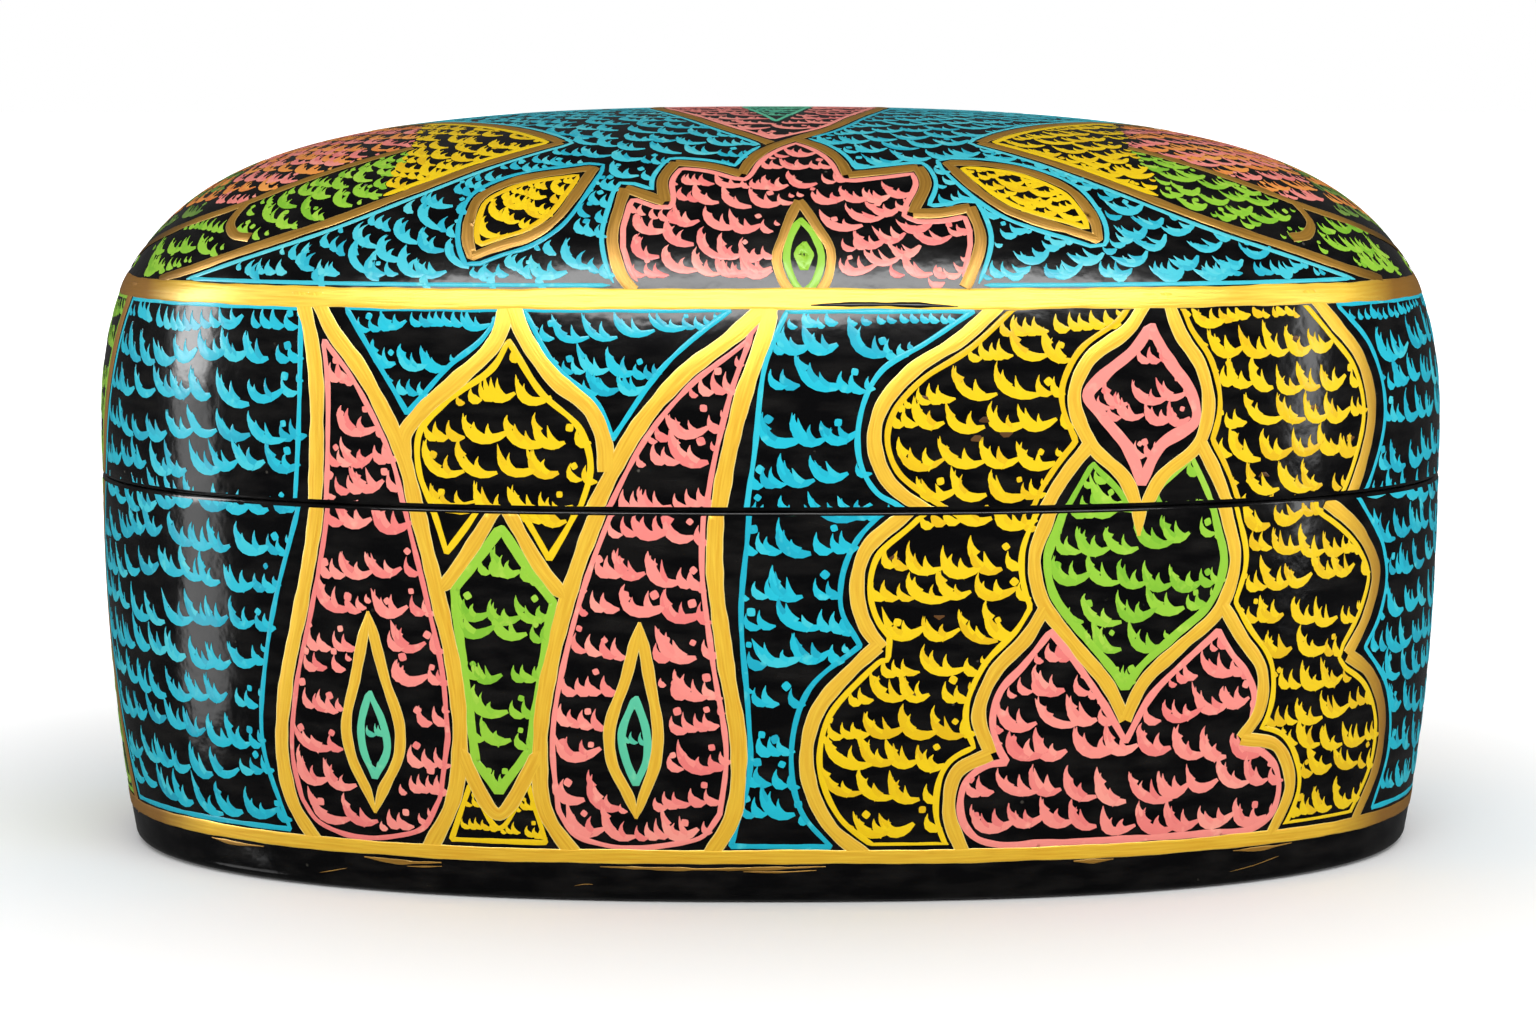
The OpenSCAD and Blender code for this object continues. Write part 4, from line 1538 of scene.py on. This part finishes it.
zone_foot = closed(
    [(-60, -25), (-64, -21.6), (-69.6, -13), (-71.6, -9.4)], [(-76, -9)], [(-70, -34)], [(-55, -35)],
    [(-57.5, -31.5), (-57.5, -28)],
)
zone_end = closed(
    [(-64, -20), (-68.4, -11.6), (-70.8, -6.6), (-71.4, 1.2)], [(-55.5, 1.2)],
    [(-56.5, -10), (-60.5, -23.5)],
)


def leaf_zone(rng, name, material, zones, edge=None, first=0, step=1):
    """Strokes of one colour in zones of the four leaves, in every row or every step-th one,
    and a border beside the gold along one of the zones."""
    patches = []
    for flip in FOUR_WAYS:
        inner = leaf_inside * flip
        if edge is not None:
            patches += stretches(rng, dome_point, inner, within(inner, edge * flip), 0.75)
        for zone in zones:
            rows = dome_rows(rng, zone * flip)[first::step]
            patches += stroke_rows(rng, dome_point, rows, zone * flip, size=0.8, also=inner)
    paint_piece(name, patches, dome_point, material, "lid")


leaf_zone(rng, "leaf_tip_yellow", YELLOW, [zone_tip], zone_tip)
leaf_zone(rng, "leaf_low_lime", LIME, [zone_low, zone_foot])
leaf_zone(rng, "leaf_high_salmon", SALMON, [zone_high], None, 0, 2)
leaf_zone(rng, "leaf_high_orange", ORANGE, [zone_high, zone_end], None, 1, 2)
leaf_zone(rng, "leaf_end_olive", OLIVE, [zone_end], None, 0, 2)

# ------------------------------------------------------------------ the small leaves
# Two small yellow leaves stand free on the blue ground between the flower and the end leaves.

rng = np.random.default_rng(24)
small_leaf_left = closed(
    [(-21, -36.5), (-24.3, -36.8), (-27.8, -37.6), (-30.3, -39), (-31.1, -41)],
    [(-31.1, -42.2), (-30.6, -43.3)],
    [(-28, -43.1), (-24.5, -42.8), (-22, -41.8), (-20, -39.5), (-18.3, -36.2)],
)
small_leaf_right = closed(
    [(21.7, -35.1), (25.1, -35.4), (28.5, -36.4), (31.5, -38), (33, -39.8)],
    [(33.5, -40.7), (33.6, -41.7)],
    [(30.9, -41.6), (27.5, -41.4), (24, -40.7), (21.2, -39), (19.4, -37), (18.3, -35.3)],
)
SMALL_LEAVES = [leaf * flip for leaf in (small_leaf_left, small_leaf_right) for flip in TWO_WAYS]
patches, golds = [], []
for loop in SMALL_LEAVES:
    golds.append(border(rng, dome_point, loop, 1.1, 0.08))
    line = beside(dome_point, loop, 0.95)
    patches.append(border(rng, dome_point, line, 0.6))
    rows = dome_rows(rng, line, pitch=2.1)
    patches += stroke_rows(rng, dome_point, rows, line, dots=False, size=0.62, body=1.2)
paint_piece("small_leaf_gold", golds, dome_point, DULL_AND_SHADED_GOLD, "lid")
paint_piece("small_leaf_yellow", patches, dome_point, YELLOW, "lid")

# ------------------------------------------------------------------ the dome's blue ground
# Everything between the motifs, up to the shoulder band, is cyan: a border line beside each
# gold line, then rows of strokes round the crown.

# The dome's cyan is a paler copy of the walls' cyan: painted sheen, where the dome faces up to the white
# room.
CYAN_WITH_PAINTED_SHEEN = paint("cyan_painted_sheen", (62, 190, 206), (24, 166, 190), (120, 214, 214))
rng = np.random.default_rng(25)
turn = np.linspace(-np.pi, np.pi, 700, endpoint=False) + 0.0001
ground_edge = np.stack(oval(DOME_X - 0.75, DOME_Y - 0.5, SHOULDER_CORNER, turn), -1)
holes = [beside(dome_point, flower_loop * flip, -1.1) for flip in TWO_WAYS]
holes += [beside(dome_point, loop, -1.05) for loop in SMALL_LEAVES]
holes += [beside(dome_point, leaf_loop * flip, -1.1) for flip in FOUR_WAYS]
holes.append(beside(dome_point, medallion_loop, -1.1))

# The borders stop above the shoulder band, and each half's rows run on past the middle.
BORDER_FOOT = 63.6
PAST_MIDDLE = 1.3

patches = stretches(rng, dome_point, ground_edge, bare_of(ground_edge, holes), 0.45)
for count, hole in enumerate(holes):
    others = holes[:count] + holes[count + 1 :]
    free = bare_of(hole, others) & (dome_point(hole)[:, 2] > BORDER_FOOT)
    patches += stretches(rng, dome_point, hole, free, 0.5)
for half in (-1, 1):
    part = ground_edge[ground_edge[:, 1] * half > -PAST_MIDDLE]
    part = part[np.argsort(np.arctan2(part[:, 0], -half * part[:, 1]))]
    patches += stroke_rows(rng, dome_point, dome_rows(rng, part), part, holes, size=0.85)
paint_piece("ground_cyan", patches, dome_point, CYAN_WITH_PAINTED_SHEEN, "lid")

# ------------------------------------------------------------------ floor, light and camera
# A plain pale floor and a white sweep. One large soft light above the front lights the paint,
# and narrow cards at both sides only show as highlights in the varnish. The camera stands
# where the photograph's did.

FLOOR_REACH = 6000
FLOOR_DROP = 0.0001
CAMERA_LENS = 97.545
SENSOR_WIDTH = 36
CAMERA_PLACE = (-0.00028, -0.46996, 0.08693)
CAMERA_DIP = 0.109

floor_paint, tree, shader = new_material("pale_floor")
# The floor glows more the farther it lies from the box, up to full white about 28 cm out: painted light
# that fades its shadow into the white.
reach = node(tree, "ShaderNodeVectorMath", {0: on_piece(tree)}, operation="LENGTH")
fill(tree, shader, {
    "Base Color": (0.9, 0.9, 0.9, 1),
    "Roughness": 0.9,
    "Specular IOR Level": 0.1,
    "Emission Color": (1, 1, 1, 1),
    "Emission Strength": ramp(tree, reach.outputs["Value"], 0.05, 0.28),
})
corners = np.array([(-1, -1, 0), (1, -1, 0), (1, 1, 0), (-1, 1, 0)]) * FLOOR_REACH
floor = new_piece("pale_floor", corners, [(0, 1, 2, 3)], floor_paint)
floor.location.z = -FLOOR_DROP
floor.visible_glossy = False

world = bpy.data.worlds.new("white_room")
bpy.context.scene.world = world
world.use_nodes = True
tree = world.node_tree
tree.nodes.clear()
ray = node(tree, "ShaderNodeLightPath").outputs
plain, dim, seen = (
    node(tree, "ShaderNodeBackground", {"Color": (1, 1, 1, 1), "Strength": strength}).outputs[0]
    for strength in (0.64, 0.07, 1.0)
)
room = node(tree, "ShaderNodeMixShader", {0: ray["Is Glossy Ray"], 1: plain, 2: dim}).outputs[0]
room = node(tree, "ShaderNodeMixShader", {0: ray["Is Camera Ray"], 1: room, 2: seen}).outputs[0]
node(tree, "ShaderNodeOutputWorld", {"Surface": room})


def soft_box(name, place, aim, width, height, watts, mirrored):
    """Rectangular soft light at a place, turned to face its aim. A mirrored one only shows in
    glossy skins, and the others only light the paint."""
    data = bpy.data.lights.new(name, "AREA")
    data.shape = "RECTANGLE"
    data.size = width
    data.size_y = height
    data.energy = watts
    lamp = bpy.data.objects.new(name, data)
    bpy.context.scene.collection.objects.link(lamp)
    away = Vector(place) - Vector(aim)
    lamp.location = place
    lamp.rotation_euler = away.to_track_quat("Z", "Y").to_euler()
    lamp.visible_glossy = mirrored
    lamp.visible_diffuse = not mirrored


soft_box("light_above_front", (0.12, -0.6, 0.7), (0, 0, 0.04), 0.9, 0.5, 4.15, False)
for name, z, width, height, watts in (
    ("window_left", 0.21, 0.145, 0.38, 2.8),
    ("table_left", -0.06, 0.145, 0.16, 0.24),
    ("table_near_left", -0.33, 0.2, 0.12, 0.12),
):
    soft_box(name, (-0.60, -0.042, z), (-0.05, -0.01, z), width, height, watts, True)
soft_box("strip_above_front", (0, -0.69, 0.64), (0, 0, 0.04), 1.4, 0.16, 12.0, True)
soft_box("window_right", (0.58, -0.19, 0.18), (0.05, 0, 0.18), 0.08, 0.44, 0.8, True)

camera_data = bpy.data.cameras.new("camera")
camera_data.lens = CAMERA_LENS
camera_data.sensor_width = SENSOR_WIDTH
camera_data.sensor_fit = "HORIZONTAL"
camera = bpy.data.objects.new("camera", camera_data)
bpy.context.scene.collection.objects.link(camera)
camera.location = CAMERA_PLACE
camera.rotation_euler = (np.pi / 2 - CAMERA_DIP, 0, 0)
bpy.context.scene.camera = camera
bpy.context.scene.view_settings.view_transform = "Standard"
bpy.context.scene.view_settings.look = "None"
